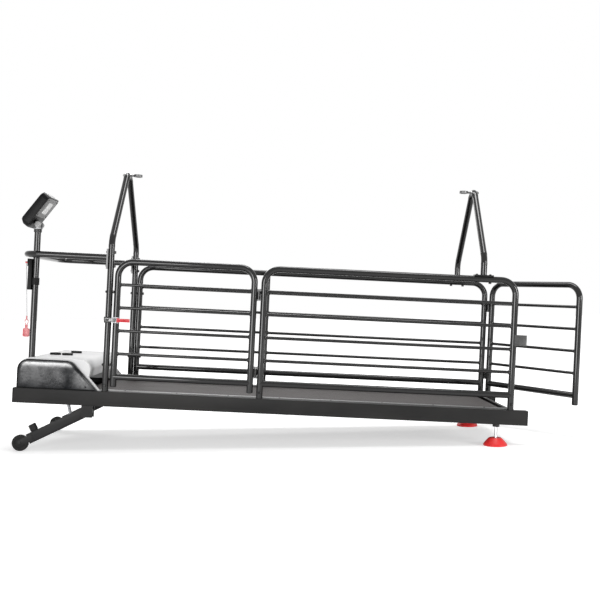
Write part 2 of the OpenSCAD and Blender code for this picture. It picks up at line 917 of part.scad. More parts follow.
// Bolts that hold the tubes together
bolt_d = 8;
bolt_hole = bolt_d + 2 * seat_gap;
foot_bolt_w = 28;
post_bolt_w = [125, 470];
bar_bolt_below = 40;
bar_bolt_above = 25;
bar_bolt_w = [bar_w - bar_bolt_below, bar_w + bar_bolt_above];
saddle_t = 5;
saddle_wrap = 3;
saddle_bolt_u = 32;
saddle_half_l = 46;
saddle_half_w = 15;
near_posts = [near_panel_u, tail_post_u];
far_posts = [far_u, far_mid_u, tail_post_u];
saddle_top = gate_top + tube_r + saddle_t;

// Cross holes or shanks through the feet of a row of posts
module foot_holes(posts, side, d) {
    for (u = posts)
        axle(u, foot_bolt_w, side * half_track - tube_d, side * half_track + tube_d, d);
}
// Holes along the rails through a head post
module post_holes(heights, side, d) {
    for (w = heights)
        translate([head_arch_u - tube_d, side * half_track, w])
            rotate([0, 90, 0])
                cylinder(h = far_u - head_arch_u + 2 * tube_d, d = d);
}
// Upright holes through a top rail under the tail arch
module saddle_holes(side, d) {
    for (end = [-1, 1])
        translate([tail_arch_u + end * saddle_bolt_u, side * half_track, gate_top - tube_d])
            cylinder(h = 3 * tube_d, d = d);
}

module frame_bolts() {
    color([0.2, 0.2, 0.21])
        on_deck() {
            for (side = [-1, 1]) {
                for (u = side < 0 ? concat([head_arch_u], near_posts) : concat([head_arch_u], far_posts))
                    translate([u, side * (half_track + tube_r), foot_bolt_w])
                        rotate([side * 90, 0, 0])
                            bolt(tube_d, bolt_d);
                for (w = bar_bolt_w)
                    translate([head_arch_u - tube_r - saddle_t, side * half_track, w])
                        rotate([0, 90, 0])
                            bolt(tube_d + saddle_t, bolt_d);
                for (w = post_bolt_w)
                    translate([head_arch_u - tube_r, side * half_track, w])
                        rotate([0, 90, 0])
                            bolt(side < 0 ? tube_d : tube_d + far_u - head_arch_u, bolt_d);
                for (end = [-1, 1])
                    translate([tail_arch_u + end * saddle_bolt_u, side * half_track, saddle_top])
                        rotate([180, 0, 0])
                            bolt(tube_d + saddle_t, bolt_d);
                translate([foot_u, side * half_track, -rail_h - foot_nut_h])
                    difference() {
                        cylinder(h = foot_nut_h, d = foot_nut_d, $fn = 6);
                        translate([0, 0, -overrun])
                            cylinder(h = foot_nut_h + 2 * overrun, d = stud_d + 2 * seat_gap);
                    }
            }
        }
}

// Handlebar and arches
module handlebar_path(d, extra) {
    arm_end = head_arch_u - tube_r - saddle_t + extra;
    for (side = [-1, 1]) {
        run([bar_u + bar_r, side * half_track, bar_w], [arm_end, side * half_track, bar_w], d);
        translate([bar_u + bar_r, side * (half_track - bar_r), bar_w])
            rotate([0, 0, side < 0 ? 180 : 90])
                bend(bar_r, 90, d);
    }
    run([bar_u, bar_r - half_track, bar_w], [bar_u, half_track - bar_r, bar_w], d);
}
plate_low = bar_bolt_w[0] - saddle_half_w;
plate_high = bar_bolt_w[1] + saddle_half_w;
module handlebar() {
    color([0.04, 0.04, 0.045])
        on_deck()
            difference() {
                union() {
                    handlebar_path(tube_d, 0);
                    for (side = [-1, 1])
                        block(
                            [head_arch_u - tube_r - saddle_t, side * half_track - saddle_half_w, plate_low],
                            [head_arch_u - tube_r + saddle_wrap, side * half_track + saddle_half_w,
                                plate_high]);
                }
                handlebar_path(tube_d - 2 * tube_wall, saddle_t + saddle_wrap + overrun);
                for (side = [-1, 1]) {
                    post_holes(bar_bolt_w, side, bolt_hole);
                    translate([head_arch_u, side * half_track, plate_low - overrun])
                        cylinder(h = plate_high - plate_low + 2 * overrun, d = tube_d + 2 * seat_gap);
                }
            }
}

// Arch in a flat v-w plane: straight legs, leaning arms and a round apex
arm_l = (half_track - knee_r * (1 - cos(arch_lean)) - apex_r * cos(arch_lean)) / sin(arch_lean);
knee_end = [half_track - knee_r * (1 - cos(arch_lean)), knee_w + knee_r * sin(arch_lean)];
arm_way = [-sin(arch_lean), cos(arch_lean)];
arm_end = knee_end + arm_l * arm_way;
apex_c = [0, arm_end[1] - apex_r * sin(arch_lean)];
apex_w = apex_c[1] + apex_r;
// Lengths of tube end a little short of each other inside weld rings
weld_l = 10;
weld_proud = 0.5;
weld_gap = 1;
knee_skip = weld_gap / knee_r * 180 / PI;
apex_skip = weld_gap / apex_r * 180 / PI;
module tube_section(d, wall) {
    difference() {
        circle(d = d);
        circle(d = d - 2 * wall);
    }
}
module tube_length(p, angle, length) {
    translate([p[0], p[1], 0])
        rotate([0, 0, angle])
            rotate([-90, 0, 0])
                linear_extrude(length)
                    tube_section(tube_d, tube_wall);
}
module tube_bend(r, angle) {
    rotate_extrude(angle = angle)
        translate([r, 0])
            tube_section(tube_d, tube_wall);
}
module weld_ring(p, angle) {
    translate([p[0], p[1], 0])
        rotate([0, 0, angle])
            rotate([-90, 0, 0])
                translate([0, 0, -weld_l / 2])
                    linear_extrude(weld_l)
                        tube_section(tube_d + 2 * weld_proud, tube_wall + 2 * weld_proud);
}
module half_arch(foot) {
    tube_length([half_track, foot], 0, knee_w - foot - weld_gap);
    weld_ring([half_track, knee_w], 0);
    translate([half_track - knee_r, knee_w, 0])
        rotate([0, 0, knee_skip])
            tube_bend(knee_r, arch_lean - 2 * knee_skip);
    weld_ring(knee_end, arch_lean);
    tube_length(knee_end + weld_gap * arm_way, arch_lean, arm_l - 2 * weld_gap);
    weld_ring(arm_end, arch_lean);
}
module arch(u, foot) {
    translate([u, 0, 0])
        rotate([90, 0, 90])
            difference() {
                union() {
                    half_arch(foot);
                    rotate([0, 180, 0])
                        half_arch(foot);
                    translate([0, apex_c[1], 0])
                        rotate([0, 0, arch_lean + apex_skip])
                            tube_bend(apex_r, 180 - 2 * arch_lean - 2 * apex_skip);
                }
                translate([0, apex_w, 0])
                    cylinder(h = 2 * tube_d, d = eye_shank_d + 2 * seat_gap, center = true);
            }
}
module head_arch() {
    color([0.04, 0.04, 0.045])
        on_deck()
            difference() {
                arch(head_arch_u, 0);
                for (side = [-1, 1]) {
                    foot_holes([head_arch_u], side, bolt_hole);
                    post_holes(concat(post_bolt_w, bar_bolt_w), side, bolt_hole);
                }
            }
}
module tail_arch() {
    color([0.04, 0.04, 0.045])
        on_deck()
            difference() {
                union() {
                    arch(tail_arch_u, saddle_top - saddle_t / 2);
                    for (side = [-1, 1])
                        difference() {
                            block(
                                [tail_arch_u - saddle_half_l, side * half_track - saddle_half_w,
                                    gate_top + tube_r - saddle_wrap],
                                [tail_arch_u + saddle_half_l, side * half_track + saddle_half_w, saddle_top]);
                            translate([tail_arch_u, side * half_track, gate_top])
                                rotate([0, 90, 0])
                                    cylinder(h = 3 * saddle_half_l, d = tube_d + 2 * seat_gap, center = true);
                        }
                }
                for (side = [-1, 1])
                    saddle_holes(side, bolt_hole);
            }
}

eye_shank_d = 10;
eye_out_d = 42;
eye_in_d = 26;
eye_h = 12;
eye_neck = 14;
eye_nut_d = 17;
eye_nut_h = 8;
eye_tail = 4;
// Eye bolt along its local X axis, with the ring ahead of the tube and the nut behind it
module eye_bolt() {
    ring_x = tube_r + eye_neck + eye_out_d / 2;
    rotate([0, 90, 0])
        translate([0, 0, -tube_r - eye_nut_h - eye_tail])
            cylinder(
                h = 2 * tube_r + eye_nut_h + eye_tail + eye_neck + (eye_out_d - eye_in_d) / 4,
                d = eye_shank_d);
    translate([-tube_r - eye_nut_h, 0, 0])
        rotate([0, 90, 0])
            cylinder(h = eye_nut_h, d = eye_nut_d, $fn = 6);
    translate([ring_x, 0, -eye_h / 2])
        difference() {
            cylinder(h = eye_h, d = eye_out_d);
            translate([0, 0, -overrun])
                cylinder(h = eye_h + 2 * overrun, d = eye_in_d);
        }
}
module arch_eye_bolts() {
    color([0.55, 0.55, 0.56])
        on_deck() {
            translate([head_arch_u, 0, apex_w])
                eye_bolt();
            translate([tail_arch_u, 0, apex_w])
                rotate([0, 0, 180])
                    eye_bolt();
        }
}

// Barred panels and gates, drawn with x along the panel and z up
module panel_tubes(width, foot, mids, d) {
    for (x = [0, width])
        run([x, 0, foot], [x, 0, gate_top - corner_r], d);
    for (x = mids)
        run([x, 0, foot], [x, 0, gate_top], d);
    run([corner_r, 0, gate_top], [width - corner_r, 0, gate_top], d);
    run([0, 0, gate_low], [width, 0, gate_low], d);
    translate([width - corner_r, 0, gate_top - corner_r])
        rotate([90, 0, 0])
            bend(corner_r, 90, d);
    translate([corner_r, 0, gate_top - corner_r])
        rotate([90, 0, 0])
            rotate([0, 0, 90])
                bend(corner_r, 90, d);
}
module panel(width, foot, mids = []) {
    bar_in = tube_r - tube_wall / 2;
    difference() {
        panel_tubes(width, foot, mids, tube_d);
        panel_tubes(width, foot - overrun, mids, tube_d - 2 * tube_wall);
    }
    for (i = [1:bars])
        run([bar_in, 0, gate_low + i * bar_step], [width - bar_in, 0, gate_low + i * bar_step], bar_d);
}

module near_panel() {
    color([0.04, 0.04, 0.045])
        on_deck()
            difference() {
                translate([near_panel_u, -half_track, 0])
                    panel(near_panel_w, 0);
                foot_holes(near_posts, -1, bolt_hole);
                saddle_holes(-1, bolt_hole);
            }
}
module far_panel() {
    color([0.04, 0.04, 0.045])
        on_deck()
            difference() {
                translate([far_u, half_track, 0])
                    panel(far_panel_w, 0, [far_mid_u - far_u]);
                foot_holes(far_posts, 1, bolt_hole);
                saddle_holes(1, bolt_hole);
                post_holes(post_bolt_w, 1, bolt_hole);
            }
}

// Gate hinges: barrels on the gates, lugs and pins on the fixed posts
hinge_w = [119, 487];
hinge_pin_d = 10;
barrel_d = 16;
barrel_h = 40;
strap_t = 7;
hinge_lug_t = 6;
hinge_head_d = 16;
hinge_head_h = 4;
// Barrels on a hinge axis at the origin, reaching along +x to a gate post
module hinge_barrels() {
    for (w = hinge_w)
        translate([0, 0, w - barrel_h / 2])
            difference() {
                union() {
                    cylinder(h = barrel_h, d = barrel_d);
                    block([0, -strap_t / 2, 0], [hinge_off - tube_r + tube_wall / 2, strap_t / 2, barrel_h]);
                }
                translate([0, 0, -overrun])
                    cylinder(h = barrel_h + 2 * overrun, d = hinge_pin_d + 2 * pin_play);
            }
}
// Pins and lugs on a hinge axis at the origin, reaching along +x to a fixed post
module hinge_pins() {
    lug_z = barrel_h / 2 + seat_gap;
    for (w = hinge_w)
        translate([0, 0, w]) {
            translate([0, 0, -lug_z - hinge_lug_t])
                cylinder(h = 2 * (lug_z + hinge_lug_t), d = hinge_pin_d);
            translate([0, 0, lug_z + hinge_lug_t])
                cylinder(h = hinge_head_h, d = hinge_head_d);
            for (side = [0, 1])
                mirror([0, 0, side])
                    translate([0, 0, lug_z])
                        difference() {
                            union() {
                                cylinder(h = hinge_lug_t, d = barrel_d);
                                block([0, -barrel_d / 2, 0], [hinge_off, barrel_d / 2, hinge_lug_t]);
                            }
                            translate([hinge_off, 0, -overrun])
                                cylinder(h = hinge_lug_t + 2 * overrun, d = tube_d + 2 * seat_gap);
                        }
        }
}
side_hinge_u = gate_u + side_gate_w + hinge_off;

module side_gate() {
    color([0.04, 0.04, 0.045])
        on_deck()
            translate([side_hinge_u, -half_track, 0])
                rotate([0, 0, 180]) {
                    translate([hinge_off, 0, 0])
                        panel(side_gate_w, gate_foot);
                    hinge_barrels();
                }
}
module tail_gate() {
    color([0.04, 0.04, 0.045])
        on_deck()
            translate([tail_hinge_u, half_track, 0])
                rotate([0, 0, tail_open - 90]) {
                    translate([hinge_off, 0, 0])
                        panel(tail_gate_w, gate_foot);
                    hinge_barrels();
                }
}
module gate_hinge_pins() {
    color([0.05, 0.05, 0.055])
        on_deck() {
            translate([side_hinge_u, -half_track, 0])
                hinge_pins();
            translate([tail_hinge_u, half_track, 0])
                rotate([0, 0, 180])
                    hinge_pins();
        }
}

// Gate latch: a base on the gate post, a swinging handle, a sliding loop and a keeper on the head post
latch_w = 338;
latch_h = 28;
latch_deep = 8;
latch_wrap = 4;
latch_in = 12;
latch_out = 18;
latch_face = -half_track - tube_r - latch_deep;
hook_t = 4;
hook_h = 16;
hook_play = 0.3;
ridge_l = 6;
ridge_h = 9;
hook_rim = 5;
hook_travel_room = 8;
hook_front = latch_face - hook_play - hook_t;
handle_from_post = 15;
handle_u = gate_u + handle_from_post;
handle_pin_d = 6;
handle_barrel_d = 13;
handle_v = hook_front - handle_barrel_d / 2 - hook_play;
handle_l = 52;
handle_t = 7;
handle_h = 16;
lip_h = 4;
ridge_u = head_arch_u - ridge_l;
hook_from_u = ridge_u - hook_rim - 2 * hook_play;
hook_to_u = handle_u - handle_barrel_d;

module gate_latch() {
    ear_low = latch_w - latch_h / 2;
    ear_high = latch_w + latch_h / 2;
    color([0.66, 0.67, 0.68])
        on_deck()
            difference() {
                union() {
                    block([gate_u - latch_in, latch_face, ear_low],
                        [gate_u + latch_out, latch_face + latch_deep + latch_wrap, ear_high]);
                    for (side = [-1, 1])
                        translate([0, 0, latch_w + side * (hook_h / 2 + hook_play + lip_h / 2)])
                            block(
                                [gate_u - latch_in, hook_front, -lip_h / 2],
                                [hook_to_u, latch_face, lip_h / 2]);
                    for (w = [ear_low, ear_high - lip_h])
                        block([handle_u - handle_barrel_d / 2, handle_v - handle_barrel_d / 2, w],
                            [gate_u + latch_out, latch_face, w + lip_h]);
                    translate([handle_u, handle_v, ear_low])
                        cylinder(h = latch_h, d = handle_pin_d);
                }
                translate([gate_u, -half_track, ear_low - overrun])
                    cylinder(h = latch_h + 2 * overrun, d = tube_d + 2 * seat_gap);
            }
}
module latch_handle() {
    color([0.75, 0.05, 0.06])
        on_deck()
            translate([handle_u, handle_v, latch_w])
                difference() {
                    union() {
                        cylinder(h = latch_h - 2 * lip_h - 2 * hook_play, d = handle_barrel_d, center = true);
                        block([0, -handle_t / 2, -handle_h / 2], [handle_l, handle_t / 2, handle_h / 2]);
                        translate([handle_l, 0, -handle_h / 2])
                            cylinder(h = handle_h, d = handle_t);
                    }
                    cylinder(h = 2 * latch_h, d = handle_pin_d + 2 * pin_play, center = true);
                }
}
module latch_hook() {
    color([0.7, 0.71, 0.72])
        on_deck()
            difference() {
                block([hook_from_u, hook_front, latch_w - hook_h / 2],
                    [hook_to_u, hook_front + hook_t, latch_w + hook_h / 2]);
                block([ridge_u - 2 * hook_play, hook_front - overrun, latch_w - ridge_h / 2 - hook_play],
                    [ridge_u + ridge_l + hook_travel_room, latch_face + overrun,
                        latch_w + ridge_h / 2 + hook_play]);
            }
}
keeper_half = 16;
tail_plate_l = 44;
tail_plate_h = 52;
tail_plate_t = 4;
tail_plate_w = 332;
module gate_keepers() {
    color([0.5, 0.51, 0.52])
        on_deck() {
            difference() {
                union() {
                    block([head_arch_u - keeper_half, latch_face, latch_w - latch_h / 2],
                        [head_arch_u + keeper_half, latch_face + latch_deep + latch_wrap,
                            latch_w + latch_h / 2]);
                    block([ridge_u, hook_front, latch_w - ridge_h / 2],
                        [ridge_u + ridge_l, latch_face, latch_w + ridge_h / 2]);
                }
                translate([head_arch_u, -half_track, latch_w - latch_h])
                    cylinder(h = 2 * latch_h, d = tube_d + 2 * seat_gap);
            }
            difference() {
                translate([tail_post_u, -half_track - tube_r, tail_plate_w])
                    block([0, -tail_plate_t / 2, -tail_plate_h / 2],
                        [tube_r + tail_plate_l, tail_plate_t / 2, tail_plate_h / 2]);
                translate([tail_post_u, -half_track, tail_plate_w - tail_plate_h])
                    cylinder(h = 2 * tail_plate_h, d = tube_d + 2 * seat_gap);
            }
        }
}

// Lift: two legs on a cross tube, with wheels, and a screw actuator between the frame and the cross tube
lift_pin_d = 12;
wheel_axle_d = 10;
leg_wall = 2.5;
bracket_half = 26;
cheek_t = 4.5;
bracket_top_t = 2.5;
cheek_low = lift_drop + leg_h / 2 + cheek_t;
cross_tube_d = 24;
cross_tube_x = leg_l / 2;
wheel_gap = 0.5;
axle_head_d = 18;
axle_head_h = 4;
fork_t = 4;
fork_gap = 6;
fork_lap = 24;
fork_h = 30;
leg_end = leg_l - wheel_d / 2 - fork_gap;
fork_v = wheel_w / 2 + wheel_gap + fork_t / 2;

// Places a leg shape: x from the pivot to the wheel, z to the leg's underside
module on_leg(v) {
    translate([lift_u, v, -lift_drop])
        rotate([0, 180 - leg_fall, 0])
            children();
}
module lift_legs() {
    color([0.05, 0.05, 0.055])
        on_deck() {
            for (side = [-1, 1])
                on_leg(side * half_track) {
                    difference() {
                        union() {
                            block([0, -leg_w / 2, -leg_h / 2], [leg_end, leg_w / 2, leg_h / 2]);
                            axle(0, 0, -leg_w / 2, leg_w / 2, leg_h);
                        }
                        block([leg_h / 2, leg_wall - leg_w / 2, leg_wall - leg_h / 2],
                            [leg_end - leg_wall, leg_w / 2 - leg_wall, leg_h / 2 + overrun]);
                        axle(0, 0, -leg_w, leg_w, lift_pin_d + 2 * pin_play);
                    }
                    for (cheek = [-1, 1])
                        translate([0, cheek * fork_v, 0]) {
                            block(
                                [leg_end - fork_lap, -fork_t / 2, -fork_h / 2],
                                [leg_l, fork_t / 2, fork_h / 2]);
                            axle(leg_l, 0, -fork_t / 2, fork_t / 2, fork_h);
                        }
                    axle(leg_l, 0, -fork_v, fork_v, wheel_axle_d);
                    translate([0, side * (fork_v + fork_t / 2 + axle_head_h / 2), 0])
                        axle(leg_l, 0, -axle_head_h / 2, axle_head_h / 2, axle_head_d);
                }
            on_leg(0)
                axle(
                    cross_tube_x, 0, leg_w / 2 - half_track - leg_wall, half_track - leg_w / 2 + leg_wall,
                    cross_tube_d);
        }
}
bumper_from_wheel = 86;
bumper_x = leg_l - bumper_from_wheel;
bumper_l = 30;
bumper_h = 33;
module leg_bumpers() {
    color([0.03, 0.03, 0.03])
        on_deck()
            on_leg(-half_track)
                block([bumper_x - bumper_l / 2, -leg_w / 2, -leg_h / 2 - bumper_h],
                    [bumper_x + bumper_l / 2, leg_w / 2, -leg_h / 2]);
}
module lift_brackets() {
    color([0.06, 0.06, 0.065])
        on_deck()
            for (side = [-1, 1])
                translate([lift_u, side * half_track, 0]) {
                    for (cheek = [-1, 1])
                        translate([0, cheek * (leg_w / 2 + seat_gap + cheek_t / 2), 0])
                            block(
                                [-bracket_half, -cheek_t / 2, -cheek_low],
                                [bracket_half, cheek_t / 2, -rail_h]);
                    axle(
                        0, -lift_drop, -leg_w / 2 - seat_gap - cheek_t, leg_w / 2 + seat_gap + cheek_t,
                        lift_pin_d);
                    block([-bracket_half, -leg_w / 2 - seat_gap, -rail_h - bracket_top_t],
                        [bracket_half, leg_w / 2 + seat_gap, -rail_h]);
                }
}

hub_d = 34;
hub_cut = 3;
tread_r = 6;
module wheel(side) {
    color([0.03, 0.03, 0.03])
        on_deck()
            on_leg(side * half_track)
                translate([leg_l, 0, 0])
                    rotate([90, 0, 0])
                        translate([0, 0, -wheel_w / 2])
                            rotate_extrude()
                                difference() {
                                    union() {
                                        square([wheel_d / 2 - tread_r, wheel_w]);
                                        translate([0, tread_r])
                                            square([wheel_d / 2, wheel_w - 2 * tread_r]);
                                        for (y = [tread_r, wheel_w - tread_r])
                                            translate([wheel_d / 2 - tread_r, y])
                                                circle(r = tread_r);
                                    }
                                    square([wheel_axle_d / 2 + pin_play, wheel_w]);
                                    for (y = [0, wheel_w - hub_cut])
                                        translate([hub_d / 2, y])
                                            square([wheel_d / 2 - hub_d / 2 - 2 * tread_r, hub_cut]);
                                }
}
module near_wheel() wheel(-1);
module far_wheel() wheel(1);

act_u = 140;
act_w = 30;
act_d = 38;
act_l = 140;
act_pin_d = 10;
act_eye_d = 26;
act_ear_t = 5;
act_ear_half = 14;
rod_d = 16;
rod_eye_t = 6;
rod_eye_play = 5;
rod_eye_w = 26;
rod_in = 92;
act_bore_from = 24;
act_foot = [lift_u - cross_tube_x * cos(leg_fall), -lift_drop - cross_tube_x * sin(leg_fall)];
act_reach = norm(act_foot - [act_u, act_w]);
act_lean = atan2(act_w - act_foot[1], act_foot[0] - act_u);
act_ear_v = act_d / 2 + 2 * seat_gap;

// Ears on the head cross member, with the actuator's upper pin
module actuator_ears() {
    for (side = [-1, 1])
        translate([0, side * (act_ear_v + act_ear_t / 2), 0]) {
            block([head_cross()[1] - cross_w / 4, -act_ear_t / 2, cross_top],
                [act_u + act_ear_half, act_ear_t / 2, act_w + act_ear_half]);
        }
    axle(act_u, act_w, -act_ear_v - act_ear_t, act_ear_v + act_ear_t, act_pin_d);
}
// Places an actuator shape: x from the upper pin to the cross tube
module on_actuator() {
    on_deck()
        translate([act_u, 0, act_w])
            rotate([0, act_lean, 0])
                children();
}
// Round bar along the local X axis
module bar_x(from_x, to_x, d) {
    translate([from_x, 0, 0])
        rotate([0, 90, 0])
            cylinder(h = to_x - from_x, d = d);
}
module actuator_body() {
    color([0.08, 0.08, 0.085])
        on_actuator()
            difference() {
                union() {
                    bar_x(act_eye_d / 4, act_l, act_d);
                    axle(0, 0, seat_gap - act_ear_v, act_ear_v - seat_gap, act_eye_d);
                }
                axle(0, 0, -act_d, act_d, act_pin_d + 2 * pin_play);
                bar_x(act_bore_from, act_l + overrun, rod_d + 2 * seat_gap);
            }
}
module actuator_rod() {
    eye_in = cross_tube_d / 2 + rod_eye_play;
    color([0.75, 0.76, 0.78])
        on_actuator() {
            bar_x(rod_in, act_reach - eye_in - rod_eye_t / 2, rod_d);
            translate([act_reach, 0, 0])
                difference() {
                    axle(0, 0, -rod_eye_w / 2, rod_eye_w / 2, 2 * (eye_in + rod_eye_t));
                    axle(0, 0, -rod_eye_w, rod_eye_w, 2 * eye_in);
                }
        }
}

// Levelling feet: a cone-shaped pad flat on the floor and a stud square to the rail
stud_d = 14;
stud_in = 40;
stud_seat = 24;
foot_nut_d = 34;
foot_nut_h = 12;
pad_rim_h = 5;
pad_h = 36;
pad_top_d = 58;
foot_x = foot_u * cos(incline) - foot_drop * sin(incline) - origin_x;
stud_top = -rail_h + stud_in;
// How far the pad's flank swells out, where 1 is a straight cone
pad_swell = 1.25;
module foot_stud(side, d) {
    on_deck()
        translate([foot_u, side * half_track, stud_seat - foot_drop])
            cylinder(h = stud_top + foot_drop - stud_seat, d = d);
}
module foot_pad(side) {
    dome_steps = 10;
    rise = pad_h - pad_rim_h;
    color([0.75, 0.05, 0.05])
        difference() {
            translate([foot_x, side * half_track, 0])
                rotate_extrude()
                    polygon(concat(
                        [[0, 0], [pad_d / 2, 0], [pad_d / 2, pad_rim_h]],
                        [for (i = [1:dome_steps]) [
                            pad_d / 2 - (pad_d - pad_top_d) / 2 * pow(i / dome_steps, pad_swell),
                            pad_rim_h + rise * i / dome_steps]],
                        [[0, pad_h]]));
            foot_stud(side, stud_d + 2 * seat_gap);
        }
}
module near_foot_pad() foot_pad(-1);
module far_foot_pad() foot_pad(1);
module near_foot_stud() color([0.7, 0.7, 0.72]) foot_stud(-1, stud_d);
module far_foot_stud() color([0.7, 0.7, 0.72]) foot_stud(1, stud_d);

near_rail();
far_rail();
rail_end_caps();
cross_members();
deck_board();
deck_cushions();
landing_strips();
running_belt();
drive_roller();
drive_pulley();
tail_roller();
roller_bearings();
motor();
motor_flywheel();
drive_belt();
controller();
hood();
near_side_cover();
far_side_cover();
hood_vents();
power_inlet();
power_rocker();
console_pole();
console_bracket();
console_shell();
console_screen();
start_button();
minus_button();
plus_button();
stop_button();
safety_switch();
pull_plunger();
lanyard_cord();
lanyard_clip();
lanyard_tag();
handlebar();
head_arch();
tail_arch();
arch_eye_bolts();
frame_bolts();
near_panel();
far_panel();
side_gate();
tail_gate();
gate_hinge_pins();
gate_latch();
latch_handle();
latch_hook();
gate_keepers();
lift_legs();
leg_bumpers();
lift_brackets();
near_wheel();
far_wheel();
actuator_body();
actuator_rod();
near_foot_pad();
far_foot_pad();
near_foot_stud();
far_foot_stud();
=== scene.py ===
import math

import bmesh
import bpy
from mathutils import Matrix, Vector


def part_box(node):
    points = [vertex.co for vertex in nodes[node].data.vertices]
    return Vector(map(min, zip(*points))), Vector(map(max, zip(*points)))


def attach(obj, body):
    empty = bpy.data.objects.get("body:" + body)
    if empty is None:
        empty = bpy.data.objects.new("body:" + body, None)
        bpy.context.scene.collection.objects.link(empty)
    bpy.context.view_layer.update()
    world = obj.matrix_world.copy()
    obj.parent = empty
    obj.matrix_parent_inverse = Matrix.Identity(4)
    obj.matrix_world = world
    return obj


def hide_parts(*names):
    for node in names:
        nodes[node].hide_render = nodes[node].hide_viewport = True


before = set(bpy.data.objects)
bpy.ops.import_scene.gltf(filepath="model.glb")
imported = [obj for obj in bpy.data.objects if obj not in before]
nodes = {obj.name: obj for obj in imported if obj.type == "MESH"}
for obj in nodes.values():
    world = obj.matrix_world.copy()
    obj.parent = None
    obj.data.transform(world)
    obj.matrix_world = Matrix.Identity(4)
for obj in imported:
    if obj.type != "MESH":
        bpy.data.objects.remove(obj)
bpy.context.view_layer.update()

# The running deck. It tilts head up on the floor, and the panels, arches and console all stand square to it,
# so places are given along it (u from the head end), across it (v) and up from the rail tops (w).
INCLINE = math.radians(3.3)
RAIL_HEIGHT = 0.07
TRACK = 0.3
rail_low, rail_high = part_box("near_rail")
HEAD_X = rail_low.x + RAIL_HEIGHT * math.sin(INCLINE)
DECK_Z = rail_high.z


def deck(u, v, w):
    return Vector((HEAD_X + u * math.cos(INCLINE) + w * math.sin(INCLINE), v,
                   DECK_Z - u * math.sin(INCLINE) + w * math.cos(INCLINE)))


ALONG = deck(1, 0, 0) - deck(0, 0, 0)
ACROSS = Vector((0, 1, 0))
UP = deck(0, 0, 1) - deck(0, 0, 0)


def reach(name):
    """Lowest and highest place of a solid along, across and up from the deck."""
    places = [vertex.co - deck(0, 0, 0) for vertex in nodes[name].data.vertices]
    spans = [[place.dot(way) for place in places] for way in (ALONG, ACROSS, UP)]
    return [min(span) for span in spans], [max(span) for span in spans]


# The photographer's camera: a normal lens at gate height, level with the middle of the side,
# turned a little to the tail and leaning a little with the deck.
LENS = 48
SENSOR = 36
CAMERA_REACH = 50
# Along, across and up from the head end of the deck
CAMERA_PLACE = (1.272, -4.092, 0.4607)
CAMERA_YAW = math.radians(0.8)
CAMERA_PITCH = math.radians(0.16)
CAMERA_RIGHT = Vector((0.99986, -0.014, -0.0096))
lens_data = bpy.data.cameras.new("studio_camera")
lens_data.lens = LENS
lens_data.sensor_width = SENSOR
lens_data.clip_end = CAMERA_REACH
camera = bpy.data.objects.new("studio_camera", lens_data)
bpy.context.scene.collection.objects.link(camera)
ahead = Vector((math.sin(CAMERA_YAW), math.cos(CAMERA_YAW), math.sin(CAMERA_PITCH))).normalized()
right = (CAMERA_RIGHT - ahead * CAMERA_RIGHT.dot(ahead)).normalized()
above = right.cross(ahead)
facing = Matrix((right, above, -ahead)).transposed().to_4x4()
camera.matrix_world = Matrix.Translation(deck(*CAMERA_PLACE)) @ facing
bpy.context.scene.camera = camera
bpy.context.scene.view_settings.view_transform = "Standard"


# The studio: a white paper floor that runs out of sight and keeps the soft shadow under the deck,
# a white room, and large soft lamps above and in front.
def nodes_of(material):
    tree = material.node_tree
    return tree.nodes, tree.links


def principled(name, colour, roughness, metallic=0.0, gloss=0.5):
    material = bpy.data.materials.new(name)
    material.use_nodes = True
    made, wires = nodes_of(material)
    skin = made["Principled BSDF"]
    skin.inputs["Base Color"].default_value = (*colour, 1)
    skin.inputs["Roughness"].default_value = roughness
    skin.inputs["Metallic"].default_value = metallic
    skin.inputs["Specular IOR Level"].default_value = gloss
    return material, made, wires, skin


def combine(made, wires, operation, *amounts):
    """One number from two, each of them another node's output or a plain number."""
    node = made.new("ShaderNodeMath")
    node.operation = operation
    for entry, amount in zip(node.inputs, amounts):
        if isinstance(amount, bpy.types.NodeSocket):
            wires.new(amount, entry)
        else:
            entry.default_value = amount
    return node.outputs[0]


def measure(made, wires, operation, place, mark):
    """A number measured at each place, such as its distance from a mark."""
    gauge = made.new("ShaderNodeVectorMath")
    gauge.operation = operation
    gauge.inputs[1].default_value = mark
    wires.new(place, gauge.inputs[0])
    return gauge.outputs["Value"]


def between(made, wires, amount, start, stop, low, high, change="LINEAR"):
    """A number that runs from low to high while amount runs from start to stop."""
    span = made.new("ShaderNodeMapRange")
    span.interpolation_type = change
    for entry, limit in (("From Min", start), ("From Max", stop), ("To Min", low), ("To Max", high)):
        span.inputs[entry].default_value = limit
    wires.new(amount, span.inputs["Value"])
    return span.outputs["Result"]


def sees_background(made, wires):
    """1 for rays that look straight at, into a mirror or through glass at the white room."""
    rays = made.new("ShaderNodeLightPath").outputs
    mirrored = combine(made, wires, "MAXIMUM", rays["Is Camera Ray"], rays["Is Glossy Ray"])
    return combine(made, wires, "MAXIMUM", mirrored, rays["Is Transmission Ray"])


ROOM_LIGHT, ROOM_SEEN = 0.22, 1.0
room = bpy.data.worlds.new("white_room")
room.use_nodes = True
bpy.context.scene.world = room
made, wires = nodes_of(room)
air = made["Background"]
air.inputs["Color"].default_value = (1, 1, 1, 1)
brightness = between(made, wires, sees_background(made, wires), 0, 1, ROOM_LIGHT, ROOM_SEEN)
wires.new(brightness, air.inputs["Strength"])

